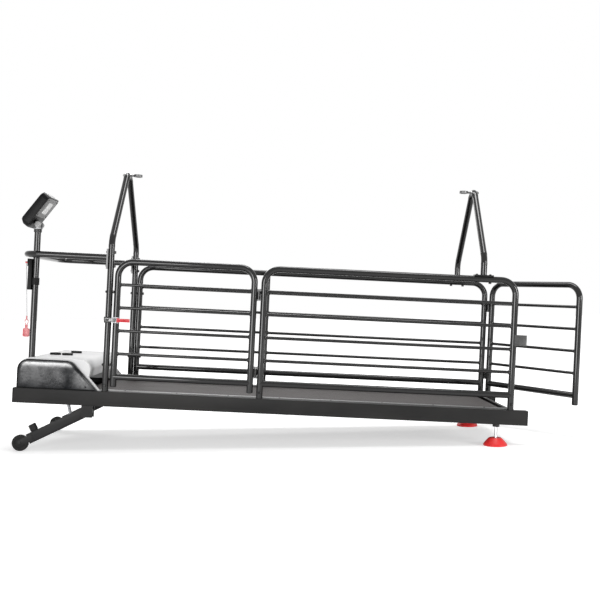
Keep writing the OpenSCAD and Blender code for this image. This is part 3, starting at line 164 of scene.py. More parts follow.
FLOOR_SIZE = 60
PAPER_WHITE, PAPER_ROUGHNESS, PAPER_GLOSS = (0.86, 0.86, 0.86), 0.7, 0.1
GLOW_NEAR, GLOW_FAR = 0.5, 1.0
NEAR_REACH, FAR_REACH = 1.5, 3.6
sheet = bmesh.new()
bmesh.ops.create_grid(sheet, x_segments=1, y_segments=1, size=FLOOR_SIZE / 2)
floor_mesh = bpy.data.meshes.new("paper_floor")
sheet.to_mesh(floor_mesh)
sheet.free()
floor = bpy.data.objects.new("paper_floor", floor_mesh)
bpy.context.scene.collection.objects.link(floor)
paper, made, wires, skin = principled("white_paper", PAPER_WHITE, PAPER_ROUGHNESS, gloss=PAPER_GLOSS)
skin.inputs["Emission Color"].default_value = (1, 1, 1, 1)
spot = made.new("ShaderNodeTexCoord")
away = measure(made, wires, "DISTANCE", spot.outputs["Object"], (0, 0, 0))
glow = between(made, wires, away, NEAR_REACH, FAR_REACH, GLOW_NEAR, GLOW_FAR)
seen_glow = combine(made, wires, "MULTIPLY", sees_background(made, wires), glow)
wires.new(seen_glow, skin.inputs["Emission Strength"])
floor_mesh.materials.append(paper)

# name, place, aim, width, height, watts
LAMPS = [
    ("front_softbox", (-2.3, -4.6, 0.85), (-0.2, 0, 0.75), 2.6, 1.5, 125),
    ("top_softbox", (0.2, 0.2, 4.2), (0, 0, 0.4), 4.0, 0.9, 130),
    ("tail_softbox", (4.2, -3.2, 1.3), (0.3, 0, 0.7), 1.2, 1.4, 105),
    ("back_softbox", (-1.0, 3.6, 2.8), (0, 0, 0.6), 3.0, 0.8, 40),
]
for name, place, aim, width, height, watts in LAMPS:
    lamp = bpy.data.lights.new(name, "AREA")
    lamp.shape = "RECTANGLE"
    lamp.size, lamp.size_y, lamp.energy = width, height, watts
    stand = bpy.data.objects.new(name, lamp)
    stand.location = place
    stand.rotation_euler = (Vector(aim) - Vector(place)).to_track_quat("-Z", "Y").to_euler()
    bpy.context.scene.collection.objects.link(stand)


# The lanyard: a thin braided cord tied under the pull plunger of the safety switch. It hangs straight down
# beside the pole and ends in a red hook, which grips the tag.
def place_of(made, wires, stretch=(1, 1, 1), turn=(0, 0, 0)):
    """Surface coordinates in metres, stretched and turned."""
    where = made.new("ShaderNodeTexCoord")
    shift = made.new("ShaderNodeMapping")
    shift.inputs["Scale"].default_value = stretch
    shift.inputs["Rotation"].default_value = turn
    wires.new(where.outputs["Object"], shift.inputs["Vector"])
    return shift.outputs["Vector"]


def grain(made, wires, scale, detail=3.0, stretch=(1, 1, 1)):
    cloud = made.new("ShaderNodeTexNoise")
    cloud.inputs["Scale"].default_value = scale
    cloud.inputs["Detail"].default_value = detail
    wires.new(place_of(made, wires, stretch), cloud.inputs["Vector"])
    return cloud.outputs["Fac"]


def bands(made, wires, scale, direction="X", turn=(0, 0, 0)):
    """Even ridges side by side."""
    wave = made.new("ShaderNodeTexWave")
    wave.bands_direction = direction
    wave.inputs["Scale"].default_value = scale
    wires.new(place_of(made, wires, turn=turn), wave.inputs["Vector"])
    return wave.outputs["Fac"]


# Cloudy noise keeps to the middle of its range, so that part carries the whole change
TONE_LOW, TONE_HIGH = 0.35, 0.65
SPREAD_LOW, SPREAD_HIGH = 0.3, 0.7


def tones(made, wires, amount, dark, light):
    """A colour that runs from dark to light with amount."""
    ramp = made.new("ShaderNodeValToRGB")
    ramp.color_ramp.elements[0].position = TONE_LOW
    ramp.color_ramp.elements[1].position = TONE_HIGH
    ramp.color_ramp.elements[0].color = (*dark, 1)
    ramp.color_ramp.elements[1].color = (*light, 1)
    wires.new(amount, ramp.inputs["Fac"])
    return ramp.outputs["Color"]


def tint(made, wires, skin, amount, dark, light):
    """Colours the surface from dark to light with amount."""
    wires.new(tones(made, wires, amount, dark, light), skin.inputs["Base Color"])


def spread(made, wires, amount, low, high):
    """A number that runs from low to high with cloudy noise."""
    return between(made, wires, amount, SPREAD_LOW, SPREAD_HIGH, low, high)


def relief(made, wires, skin, height, depth, strength=1.0):
    """Surface relief of a real depth in metres."""
    bump = made.new("ShaderNodeBump")
    bump.inputs["Strength"].default_value = strength
    bump.inputs["Distance"].default_value = depth
    wires.new(height, bump.inputs["Height"])
    wires.new(bump.outputs["Normal"], skin.inputs["Normal"])


def dress(material, *names):
    for name in names:
        mesh = nodes[name].data
        mesh.materials.clear()
        mesh.materials.append(material)


def smooth(obj, angle=35):
    for face in obj.data.polygons:
        face.use_smooth = True
    obj.data.set_sharp_from_angle(angle=math.radians(angle))


def piece(name, bm, material, body, angle=35):
    """Turns a built mesh into a finished piece that rides on a body."""
    bmesh.ops.holes_fill(bm, edges=[edge for edge in bm.edges if edge.is_boundary], sides=0)
    bmesh.ops.recalc_face_normals(bm, faces=bm.faces)
    mesh = bpy.data.meshes.new(name)
    bm.to_mesh(mesh)
    bm.free()
    obj = bpy.data.objects.new(name, mesh)
    bpy.context.scene.collection.objects.link(obj)
    mesh.materials.append(material)
    smooth(obj, angle)
    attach(obj, body)
    return obj


def ring(bm, middle, side, other, radius, sides):
    """Points of a circle round middle."""
    turns = [2 * math.pi * s / sides for s in range(sides)]
    spokes = [math.cos(turn) * side + math.sin(turn) * other for turn in turns]
    return [bm.verts.new(middle + radius * spoke) for spoke in spokes]


def bridge(bm, rings):
    """Bands of faces from each ring to the next."""
    for a, b in zip(rings, rings[1:]):
        for s in range(len(a)):
            t = (s + 1) % len(a)
            bm.faces.new((a[s], a[t], b[t], b[s]))


def sweep(bm, points, radius, sides=10):
    """A round rod along points, closed at both ends."""
    rings = []
    side = None
    for k, point in enumerate(points):
        before = points[max(k - 1, 0)]
        after = points[min(k + 1, len(points) - 1)]
        way = (after - before).normalized()
        side = way.orthogonal() if side is None else side - way * side.dot(way)
        side.normalize()
        rings.append(ring(bm, point, side, way.cross(side), radius, sides))
    bridge(bm, rings)
    bm.faces.new(rings[0][::-1])
    bm.faces.new(rings[-1])


def revolve(bm, centre, axis, profile, sides=24):
    """A turned shape: profile is (radius, height along the axis) from one end to the other."""
    axis = axis.normalized()
    side = axis.orthogonal().normalized()
    other = axis.cross(side)
    rings = []
    for radius, height in profile:
        middle = centre + axis * height
        rings.append(ring(bm, middle, side, other, radius, sides) if radius else [bm.verts.new(middle)])
    for a, b in zip(rings, rings[1:]):
        if len(a) == len(b):
            bridge(bm, (a, b))
        else:
            tip, rim = (a[0], b) if len(a) == 1 else (b[0], a)
            for s in range(sides):
                bm.faces.new((tip, rim[s], rim[(s + 1) % sides]))


POLE_V = -0.25
CORD_DIAMETER = 0.0025
PLAIT_SCALE = 260
cord_low, cord_high = reach("lanyard_cord")
CORD_START = (cord_low[0] + CORD_DIAMETER / 2, cord_high[2])
# Steps along the deck and up from the plunger
CORD_ROUTE = [
    (0, 0), (0, -0.003), (0.0003, -0.008), (0.0009, -0.018), (0.0018, -0.034), (0.0028, -0.050),
    (0.0038, -0.066), (0.0048, -0.082), (0.0058, -0.100), (0.0069, -0.120), (0.0080, -0.140),
    (0.0092, -0.160), (0.0104, -0.180), (0.0116, -0.200), (0.0127, -0.220), (0.0137, -0.238),
    (0.0144, -0.251)]
cord_points = [deck(CORD_START[0] + u, POLE_V, CORD_START[1] + w) for u, w in CORD_ROUTE]
line = bpy.data.curves.new("lanyard_line", "CURVE")
line.dimensions = "3D"
line.bevel_depth = CORD_DIAMETER / 2
line.bevel_resolution = 3
line.use_fill_caps = True
strand = line.splines.new("POLY")
strand.points.add(len(cord_points) - 1)
for knot, place in zip(strand.points, cord_points):
    knot.co = (*place, 1)
lanyard = bpy.data.objects.new("lanyard_line", line)
bpy.context.scene.collection.objects.link(lanyard)
braid, made, wires, skin = principled("braided_cord", (0.5, 0.5, 0.5), 0.8)
plait = bands(made, wires, PLAIT_SCALE, "DIAGONAL")
tint(made, wires, skin, plait, (0.42, 0.42, 0.43), (0.66, 0.66, 0.66))
relief(made, wires, skin, plait, 0.0004)
line.materials.append(braid)
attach(lanyard, "pull_switch")
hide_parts("lanyard_cord")
hook_red, made, wires, skin = principled("red_coated_hook", (0.6, 0.06, 0.07), 0.35)
tint(made, wires, skin, grain(made, wires, 300, 4), (0.5, 0.04, 0.05), (0.66, 0.1, 0.11))
clip_low, clip_high = reach("lanyard_clip")
HOOK_WIRE, HOOK_HALF = 0.0016, 0.0075
BOW_MIDDLE, BOW_HALF_HEIGHT = 0.0145, 0.0125
BOW_FROM, BOW_TURN, BOW_STEPS = math.radians(-70), math.radians(320), 24
TAG_HALF, PRONG_PRESS = 0.0015, 0.0001
# Step to the side and drop below the clip
PRONG_LINE = [(0.0018, 0.009), (0.0019, 0.005), (0.002, 0.001)]
FERRULE = [(0, 0), (0.0024, 0.0004), (0.0028, 0.002), (0.0028, 0.009), (0.0022, 0.0105), (0.0022, 0.012),
           (0.003, 0.0128), (0.003, 0.0165), (0.0018, 0.0178), (0, 0.018)]
clip_u = (clip_low[0] + clip_high[0]) / 2


def prong(side):
    """An end of the bow, run on to grip one face of the tag's neck."""
    pressed = POLE_V + side * (TAG_HALF + HOOK_WIRE - PRONG_PRESS)
    return [deck(clip_u + side * step, pressed, clip_low[2] - drop) for step, drop in PRONG_LINE]


bm = bmesh.new()
revolve(bm, deck(clip_u, POLE_V, clip_high[2]), -UP, FERRULE, sides=16)
bow = prong(1)
for k in range(BOW_STEPS + 1):
    turn = BOW_FROM + BOW_TURN * k / BOW_STEPS
    bow.append(deck(clip_u + HOOK_HALF * math.cos(turn), POLE_V,
                    clip_low[2] + BOW_MIDDLE + BOW_HALF_HEIGHT * math.sin(turn)))
sweep(bm, bow + prong(-1)[::-1], HOOK_WIRE)
hook = piece("lanyard_hook", bm, hook_red, "pull_switch")
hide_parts("lanyard_clip")


# The deck frame: two long box rails and the cross members between them, welded steel under a satin
# charcoal powder coat with a fine orange peel. The rail ends are closed by pressed-in plastic caps.
SAME_PLACE = 0.00001
SHARP_FOLD = math.radians(40)


def ease(width, steps, *names):
    """Rounds the sharp edges of solids by a real radius."""
    for name in names:
        solid = nodes[name]
        join = solid.modifiers.new("joined_corners", "WELD")
        join.merge_threshold = SAME_PLACE
        edge = solid.modifiers.new("eased_edges", "BEVEL")
        edge.width = width
        edge.segments = steps
        edge.limit_method = "ANGLE"
        edge.angle_limit = SHARP_FOLD
        edge.harden_normals = True


charcoal, made, wires, skin = principled("charcoal_powder_coat", (0.016, 0.016, 0.016), 0.42, gloss=0.1)
coat_cloud = grain(made, wires, 6, 4, (0.4, 1, 1))
tint(made, wires, skin, coat_cloud, (0.017, 0.017, 0.017), (0.027, 0.0262, 0.0255))
wires.new(spread(made, wires, coat_cloud, 0.36, 0.48), skin.inputs["Roughness"])
relief(made, wires, skin, grain(made, wires, 900, 2), 0.0002, 0.35)
dress(charcoal, "near_rail", "far_rail", "cross_members", "lift_legs", "lift_brackets")
RAIL_EDGE = 0.0025
ease(RAIL_EDGE, 3, "near_rail", "far_rail")
LEG_EDGE = 0.003
ease(LEG_EDGE, 3, "lift_legs")

matt_black, made, wires, skin = principled("matt_black_plastic", (0.008, 0.008, 0.008), 0.5, gloss=0.12)
tint(made, wires, skin, grain(made, wires, 40), (0.006, 0.006, 0.006), (0.011, 0.011, 0.011))
relief(made, wires, skin, grain(made, wires, 1600, 2), 0.00015, 0.5)
dress(matt_black, "rail_end_caps", "hood_vents", "power_inlet", "safety_switch", "lanyard_clip")
CAP_EDGE = 0.0015
ease(CAP_EDGE, 2, "rail_end_caps", "power_inlet")
SWITCH_EDGE = 0.003
ease(SWITCH_EDGE, 3, "safety_switch")

# The running surface: a waxed board on rubber cushions, covered by an endless belt of dark woven rubber.
# Feet have scuffed it lengthwise. Ribbed aluminium landing strips are screwed down along both sides.
BELT_RIB = 0.0042
WEAVE_TURNS = (math.radians(45), math.radians(-45))
belt_skin, made, wires, skin = principled("woven_belt_rubber", (0.05, 0.046, 0.045), 0.6, gloss=0.25)
scuffs = grain(made, wires, 5, 8, (0.6, 14, 14))
tint(made, wires, skin, scuffs, (0.038, 0.034, 0.033), (0.074, 0.067, 0.065))
wires.new(spread(made, wires, scuffs, 0.56, 0.72), skin.inputs["Roughness"])
yarns = [bands(made, wires, 1 / BELT_RIB / 2, turn=(0, 0, turn)) for turn in WEAVE_TURNS]
relief(made, wires, skin, combine(made, wires, "MULTIPLY", *yarns), 0.0005, 0.7)
dress(belt_skin, "running_belt")

board, made, wires, skin = principled("waxed_fibre_board", (0.3, 0.2, 0.11), 0.5)
tint(made, wires, skin, grain(made, wires, 60, 6, (0.2, 1, 1)), (0.22, 0.14, 0.075), (0.36, 0.25, 0.14))
dress(board, "deck_board")

STRIP_RIBS = 60
ribbed_alu, made, wires, skin = principled("ribbed_aluminium", (0.3, 0.3, 0.3), 0.45, 1.0)
brush = grain(made, wires, 30, 6, (0.3, 40, 40))
tint(made, wires, skin, brush, (0.1, 0.1, 0.1), (0.2, 0.2, 0.2))
relief(made, wires, skin, bands(made, wires, STRIP_RIBS, "Y"), 0.0008, 0.6)
dress(ribbed_alu, "landing_strips")

dark_steel, made, wires, skin = principled("blackened_steel", (0.02, 0.02, 0.021), 0.42, 0.6)
tint(made, wires, skin, grain(made, wires, 80, 5), (0.014, 0.014, 0.015), (0.034, 0.033, 0.032))
relief(made, wires, skin, grain(made, wires, 700, 3), 0.0002, 0.4)
dress(dark_steel, "motor", "frame_bolts", "actuator_body", "controller")

STRIP_SCREWS, STRIP_SCREW_IN = 8, 0.014
strip_low, strip_high = reach("landing_strips")
SCREW_HEAD = [(0.0042, -0.0004), (0.0042, 0.0004), (0.0034, 0.0014), (0.0018, 0.0018), (0.0016, 0.0007),
              (0, 0.0007)]
bm = bmesh.new()
for k in range(STRIP_SCREWS):
    u = strip_low[0] + (strip_high[0] - strip_low[0]) * (k + 0.5) / STRIP_SCREWS
    for side in (-1, 1):
        revolve(bm, deck(u, side * (strip_high[1] - STRIP_SCREW_IN), strip_high[2]), UP, SCREW_HEAD, sides=12)
piece("strip_screws", bm, dark_steel, "frame")

# The drive under the hood: machined steel rollers in bearing blocks, the motor's fan and pulley, and a rubber
# belt. The same black rubber is moulded into the wheels, the deck's cushions and the leg's bumper.
steel, made, wires, skin = principled("machined_steel", (0.5, 0.5, 0.52), 0.32, 1.0)
turned = grain(made, wires, 25, 5, (1, 30, 1))
tint(made, wires, skin, turned, (0.42, 0.42, 0.43), (0.6, 0.6, 0.62))
wires.new(spread(made, wires, turned, 0.24, 0.4), skin.inputs["Roughness"])
dress(steel, "drive_roller", "tail_roller", "roller_bearings", "motor_flywheel", "drive_pulley")

black_rubber, made, wires, skin = principled("black_rubber", (0.012, 0.012, 0.012), 0.6, gloss=0.15)
tint(made, wires, skin, grain(made, wires, 50, 5), (0.009, 0.009, 0.009), (0.016, 0.0155, 0.015))
relief(made, wires, skin, grain(made, wires, 800, 3), 0.0003, 0.5)
dress(black_rubber, "deck_cushions", "leg_bumpers", "near_wheel", "far_wheel", "drive_belt")
BUMPER_EDGE = 0.004
ease(BUMPER_EDGE, 3, "leg_bumpers")

# The head cover: a white glossy hood moulded over the motor, between two black side covers with a pebbled,
# lacquered face and rolled edges. A rubber edging runs round each side cover, and a screw holds it near a
# corner.
hood_white, made, wires, skin = principled("white_moulded_hood", (0.68, 0.68, 0.68), 0.42, gloss=0.2)
tint(made, wires, skin, grain(made, wires, 8, 4), (0.64, 0.64, 0.645), (0.7, 0.7, 0.7))
relief(made, wires, skin, grain(made, wires, 300, 2), 0.0002, 0.15)
dress(hood_white, "hood")
HOOD_EDGE = 0.0012
ease(HOOD_EDGE, 2, "hood")
# The moulded round is shaded as one even curve
CURVE_WEIGHT = 80
nodes["hood"].modifiers["eased_edges"].harden_normals = False
flow = nodes["hood"].modifiers.new("even_curve", "WEIGHTED_NORMAL")
flow.weight = CURVE_WEIGHT

# The lacquer is thin and patchy on the face, thick along the rolled upper edge and rubbed bright round the
# screw. Heights are up from the rail tops.
LACQUER_FROM, LACQUER_TO, LACQUER_THICK = 0.1, 0.124, 1.0
LACQUER_THIN = (0.05, 0.48)
RUBBED_TO, RUBBED_FULL, RUBBED_BRIGHT = 0.09, 0.01, 0.55
COVER_SCREW, COVER_SCREW_V = (0.337, 0.018), 0.3205
SIDE_VIEW = (1, 0, 1)
pebbled, made, wires, skin = principled("lacquered_black_cover", (0.006, 0.0064, 0.007), 0.2)
pebbles = grain(made, wires, 90, 6)
tint(made, wires, skin, pebbles, (0.003, 0.0034, 0.0042), (0.0085, 0.0096, 0.0118))
wires.new(spread(made, wires, pebbles, 0.1, 0.3), skin.inputs["Roughness"])
relief(made, wires, skin, pebbles, 0.0012, 0.22)
up_the_cover = measure(made, wires, "DOT_PRODUCT", place_of(made, wires), UP)
rolled_from, rolled_to = (deck(0, 0, rise).dot(UP) for rise in (LACQUER_FROM, LACQUER_TO))
rolled = between(made, wires, up_the_cover, rolled_from, rolled_to, 0, LACQUER_THICK, "SMOOTHSTEP")
patches = spread(made, wires, grain(made, wires, 11, 7), *LACQUER_THIN)
screw_middle = deck(COVER_SCREW[0], 0, COVER_SCREW[1])
from_screw = measure(made, wires, "DISTANCE", place_of(made, wires, SIDE_VIEW), screw_middle)
rubbed = between(made, wires, from_screw, RUBBED_TO, RUBBED_FULL, 0, RUBBED_BRIGHT, "SMOOTHSTEP")
lacquer = combine(made, wires, "ADD", combine(made, wires, "ADD", rolled, patches), rubbed)
wires.new(lacquer, skin.inputs["Specular IOR Level"])
bead_black, made, wires, skin = principled("black_edging", (0.004, 0.004, 0.004), 0.45, gloss=0.08)
tint(made, wires, skin, grain(made, wires, 60), (0.003, 0.003, 0.003), (0.006, 0.006, 0.006))

COVER_FRONT, COVER_REAR, COVER_TOP_REAR, COVER_HEIGHT = 0.013, 0.389, 0.262, 0.137
COVER_BACK_V, COVER_FOOT, COVER_FOLD = 0.3, 0.0005, 50
FRONT_ROUND, REAR_ROUND, ROUND_STEPS = 0.05, 0.057, 12
BEAD_RADIUS, BEAD_IN, BEAD_V = 0.0024, 0.0026, 0.3184
# Inset from the outline and place across the deck, from the back edge to the middle of the face
COVER_RINGS = [(0, COVER_BACK_V), (0, 0.3165), (0.001, 0.3178), (0.0042, 0.3178), (0.0058, 0.3188),
               (0.01, 0.3202), (0.018, 0.3212), (0.03, 0.3219), (0.042, 0.322)]
slant = math.atan2(COVER_HEIGHT, COVER_REAR - COVER_TOP_REAR)
rear_middle = COVER_TOP_REAR - REAR_ROUND * math.tan(slant / 2)


def arc(u, w, radius, start, turned):
    """Points of a round about (u, w)."""
    turns = [start + turned * k / ROUND_STEPS for k in range(ROUND_STEPS + 1)]
    return [(u + radius * math.cos(turn), w + radius * math.sin(turn)) for turn in turns]


cover_line = [
    (COVER_FRONT, COVER_FOOT),
    *arc(COVER_FRONT + FRONT_ROUND, COVER_HEIGHT - FRONT_ROUND, FRONT_ROUND, math.pi, -math.pi / 2),
    *arc(rear_middle, COVER_HEIGHT - REAR_ROUND, REAR_ROUND, math.pi / 2, -slant),
    (COVER_REAR, COVER_FOOT)]


def inset(line, distance):
    """The outline moved inwards, corner by corner."""
    moved = []
    for k, here in enumerate(line):
        before = (Vector(here) - Vector(line[k - 1])).normalized()
        after = (Vector(line[(k + 1) % len(line)]) - Vector(here)).normalized()
        inward = Vector((before.y + after.y, -before.x - after.x))
        moved.append(Vector(here) + inward * (2 * distance / inward.length_squared))
    return moved


for side, name in ((-1, "near"), (1, "far")):
    bm = bmesh.new()
    rings = []
    for step, v in COVER_RINGS:
        rings.append([bm.verts.new(deck(u, side * v, w)) for u, w in inset(cover_line, step)])
    bridge(bm, rings)
    bm.faces.new(rings[0])
    bm.faces.new(rings[-1])
    shell = piece(name + "_cover_shell", bm, pebbled, "frame", COVER_FOLD)
    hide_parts(name + "_side_cover")
    bm = bmesh.new()
    bead_line = inset(cover_line, BEAD_IN)
    sweep(bm, [deck(u, side * BEAD_V, w) for u, w in bead_line + bead_line[:1]], BEAD_RADIUS)
    piece(name + "_cover_edging", bm, bead_black, "frame")
    bm = bmesh.new()
    revolve(bm, deck(COVER_SCREW[0], side * COVER_SCREW_V, COVER_SCREW[1]), side * ACROSS, SCREW_HEAD)
    piece(name + "_cover_screw", bm, matt_black, "frame")
dress(pebbled, "near_side_cover", "far_side_cover")

# The tube work: bent black steel tube under a gloss coat, the pole and handlebar, both arches and the barred
# panels. Each bar is welded in with a small bead, and the open feet of the gate posts are plugged.
tube_black, made, wires, skin = principled("gloss_black_tube", (0.004, 0.004, 0.004), 0.2, gloss=0.42)
tube_cloud = grain(made, wires, 14, 4)
tint(made, wires, skin, tube_cloud, (0.003, 0.003, 0.003), (0.006, 0.006, 0.006))
wires.new(spread(made, wires, tube_cloud, 0.07, 0.11), skin.inputs["Roughness"])
relief(made, wires, skin, grain(made, wires, 300, 2), 0.0001, 0.03)
dress(tube_black, "console_pole", "handlebar", "head_arch", "tail_arch", "near_panel", "far_panel",
      "side_gate", "tail_gate")

TUBE_RADIUS, BAR_RADIUS = 0.015, 0.0075
BARS, LOWEST_TUBE, TOP_TUBE = 4, 0.07, 0.615
POST_FOOT = 0.025
# Reach beyond the bar and height on it
BEAD_STEPS = [(0.0042, -0.0035), (0.0036, 0.0003), (0.0014, 0.0026), (-0.0003, 0.0048)]
BEAD = [(BAR_RADIUS + reach_out, height) for reach_out, height in BEAD_STEPS]
BEAD_SIDES = 14
PLUG = [(0, -0.003), (0.0115, -0.003), (0.0146, -0.0012), (0.0148, -0.0001), (0.0126, 0), (0.0126, 0.012),
        (0, 0.012)]
TAIL_OPEN = math.radians(35)
tail_way = ALONG * math.sin(TAIL_OPEN) - ACROSS * math.cos(TAIL_OPEN)
GATE_START, GATE_WIDTH, HINGE_GAP = 0.461, 0.645, 0.047
PANEL_START, PANEL_WIDTH = GATE_START + GATE_WIDTH + HINGE_GAP, 1.195
FAR_START, FAR_MIDDLE = 0.455, 1.15
TAIL_POST = PANEL_START + PANEL_WIDTH
TAIL_WIDTH = 0.552
tail_start = deck(TAIL_POST + HINGE_GAP / 2, TRACK, 0) + tail_way * HINGE_GAP / 2
# piece, body, start, way, width, plugged feet
PANELS = [
    ("near_panel", "frame", deck(PANEL_START, -TRACK, 0), ALONG, PANEL_WIDTH, False),
    ("far_panel_head", "frame", deck(FAR_START, TRACK, 0), ALONG, FAR_MIDDLE - FAR_START, False),
    ("far_panel_tail", "frame", deck(FAR_MIDDLE, TRACK, 0), ALONG, TAIL_POST - FAR_MIDDLE, False),
    ("side_gate", "side_gate", deck(GATE_START, -TRACK, 0), ALONG, GATE_WIDTH, True),
    ("tail_gate", "tail_gate", tail_start, tail_way, TAIL_WIDTH, True),
]
for name, body, start, way, width, plugged in PANELS:
    bm = bmesh.new()
    for k in range(1, BARS + 1):
        rise = UP * (LOWEST_TUBE + (TOP_TUBE - LOWEST_TUBE) * k / (BARS + 1))
        revolve(bm, start + way * TUBE_RADIUS + rise, way, BEAD, sides=BEAD_SIDES)
        revolve(bm, start + way * (width - TUBE_RADIUS) + rise, -way, BEAD, sides=BEAD_SIDES)
    piece(name + "_weld_beads", bm, tube_black, body)
    if plugged:
        bm = bmesh.new()
        for post in (0, width):
            revolve(bm, start + way * post + UP * POST_FOOT, UP, PLUG)
        piece(name + "_post_plugs", bm, matt_black, body)

# The console: a charcoal moulded housing that tilts on a pin in a pale grey clamp at the top of the pole.
# Its back is closed by a screwed grey cover with a bare white plate. Its face has a dark display in a bezel
# and four marked keys.
CONSOLE_TILT = math.radians(54)
PIN_U, PIN_W = 0.063, 0.774
CONSOLE_PIN = deck(PIN_U, POLE_V, PIN_W)
up_face = ALONG * math.cos(CONSOLE_TILT) + UP * math.sin(CONSOLE_TILT)
out_face = UP * math.cos(CONSOLE_TILT) - ALONG * math.sin(CONSOLE_TILT)
CONSOLE_BACK, CONSOLE_FACE = 0.02, 0.064
CORNER_STEPS, SMALLEST_CORNER = 6, 0.0001
EASE_SHARE = 0.3


def on_console(x, y, z):
    """A place on the console: up its face, across it and out of it, from the tilt pin."""
    return CONSOLE_PIN + up_face * x + ACROSS * y + out_face * z


def outline(length, width, corner):
    """Corner-rounded outline about its middle."""
    line = []
    for k, (sx, sy) in enumerate(((1, 1), (-1, 1), (-1, -1), (1, -1))):
        for s in range(CORNER_STEPS + 1):
            turn = math.pi / 2 * (k + s / CORNER_STEPS)
            line.append((sx * (length / 2 - corner) + corner * math.cos(turn),
                         sy * (width / 2 - corner) + corner * math.sin(turn)))
    return line


def slab(bm, middle, along, across, length, width, thick, corner, eased):
    """A flat plate with round corners and an eased upper edge, rising from middle."""
    rise = along.cross(across).normalized()
    rings = []
    part = eased * EASE_SHARE
    for step, height in ((0, 0), (0, thick - eased), (part, thick - part), (eased, thick)):
        line = outline(length - 2 * step, width - 2 * step, max(corner - step, SMALLEST_CORNER))
        rings.append([bm.verts.new(middle + along * x + across * y + rise * height) for x, y in line])
    bridge(bm, rings)
    bm.faces.new(rings[0][::-1])
    bm.faces.new(rings[-1])


housing, made, wires, skin = principled("charcoal_housing", (0.007, 0.007, 0.0072), 0.36, gloss=0.08)
tint(made, wires, skin, grain(made, wires, 30, 4), (0.004, 0.004, 0.0042), (0.008, 0.008, 0.0082))
relief(made, wires, skin, grain(made, wires, 1400, 2), 0.00015, 0.4)
dress(housing, "console_shell", "minus_button", "plus_button")
HOUSING_EDGE = 0.003
ease(HOUSING_EDGE, 3, "console_shell")


def two_paints(made, wires, skin, way, limit, plain, clouded):
    """Paints the surface plain up to a limit along a way, and clouded past it."""
    along = measure(made, wires, "DOT_PRODUCT", place_of(made, wires), way)
    mix = made.new("ShaderNodeMix")
    mix.data_type = "RGBA"
    wires.new(combine(made, wires, "GREATER_THAN", along, limit), mix.inputs["Factor"])
    mix.inputs["A"].default_value = (*plain, 1)
    wires.new(clouded, mix.inputs["B"])
    wires.new(mix.outputs["Result"], skin.inputs["Base Color"])


COLLAR_U, COLLAR_W = 0.057, 0.753
SLEEVE_BLACK = (0.006, 0.006, 0.006)
grey_paint, made, wires, skin = principled("pale_grey_bracket", (0.42, 0.425, 0.43), 0.42)
pale = tones(made, wires, grain(made, wires, 60, 4), (0.38, 0.385, 0.39), (0.46, 0.465, 0.47))
two_paints(made, wires, skin, (0, 0, 1), deck(COLLAR_U, POLE_V, COLLAR_W).z, SLEEVE_BLACK, pale)
relief(made, wires, skin, grain(made, wires, 900, 2), 0.00015, 0.3)
dress(grey_paint, "console_bracket")

BACK_X, BACK_SUNK, PLATE_OUT = 0.083, 0.0002, 0.0018
# Length, width, thickness, corner and eased edge
BACK_COVER = (0.146, 0.106, 0.0022, 0.014, 0.0012)
BARE_PLATE = (0.062, 0.062, 0.0008, 0.004, 0.0003)
BACK_SCREW_X, BACK_SCREW_Y, BACK_SCREW_OUT = (0.04, 0.126), (-0.063, 0.063), 0.002
KNOB_OUT = 0.017
KNOB = [(0.0135, 0), (0.015, 0.001), (0.015, 0.012), (0.0135, 0.0135), (0.006, 0.014), (0.0055, 0.0125),
        (0, 0.0125)]
knob_grey, made, wires, skin = principled("grey_knob", (0.24, 0.24, 0.238), 0.4)
tint(made, wires, skin, grain(made, wires, 70, 4), (0.21, 0.21, 0.208), (0.28, 0.28, 0.277))
back_grey, made, wires, skin = principled("mid_grey_back_cover", (0.16, 0.16, 0.16), 0.45)
tint(made, wires, skin, grain(made, wires, 40, 4), (0.14, 0.14, 0.14), (0.19, 0.19, 0.188))
relief(made, wires, skin, grain(made, wires, 1200, 2), 0.00015, 0.4)
bm = bmesh.new()
slab(bm, on_console(BACK_X, 0, CONSOLE_BACK + BACK_SUNK), ACROSS, up_face, *BACK_COVER)
piece("console_back_cover", bm, back_grey, "console")
white_plate, made, wires, skin = principled("bare_white_plate", (0.7, 0.7, 0.7), 0.4)
tint(made, wires, skin, grain(made, wires, 90, 3), (0.8, 0.8, 0.8), (0.88, 0.88, 0.87))
bm = bmesh.new()
slab(bm, on_console(BACK_X, 0, CONSOLE_BACK - PLATE_OUT), ACROSS, up_face, *BARE_PLATE)
piece("console_plate", bm, white_plate, "console")
bm = bmesh.new()
for x in BACK_SCREW_X:
    for y in BACK_SCREW_Y:
        revolve(bm, on_console(x, y, CONSOLE_BACK - BACK_SCREW_OUT), -out_face, SCREW_HEAD, sides=14)
piece("console_back_screws", bm, dark_steel, "console")
bm = bmesh.new()
for side in (-1, 1):
    revolve(bm, on_console(0, side * KNOB_OUT, 0), side * ACROSS, KNOB)
piece("tilt_knobs", bm, knob_grey, "frame")

glass, made, wires, skin = principled("dark_display", (0.008, 0.01, 0.012), 0.08)
tint(made, wires, skin, grain(made, wires, 20), (0.006, 0.008, 0.01), (0.011, 0.013, 0.016))
dress(glass, "console_screen")
SCREEN_X, SCREEN_LONG, SCREEN_WIDE = 0.079, 0.092, 0.118
BEZEL_GAP, BEZEL_CORNER, BEZEL_WIRE = 0.003, 0.009, 0.0016
bezel_line = outline(SCREEN_LONG + BEZEL_GAP, SCREEN_WIDE + BEZEL_GAP, BEZEL_CORNER)
bezel_line += bezel_line[:2]
bm = bmesh.new()
sweep(bm, [on_console(SCREEN_X + x, y, CONSOLE_FACE) for x, y in bezel_line], BEZEL_WIRE, sides=8)
piece("screen_bezel", bm, matt_black, "console")

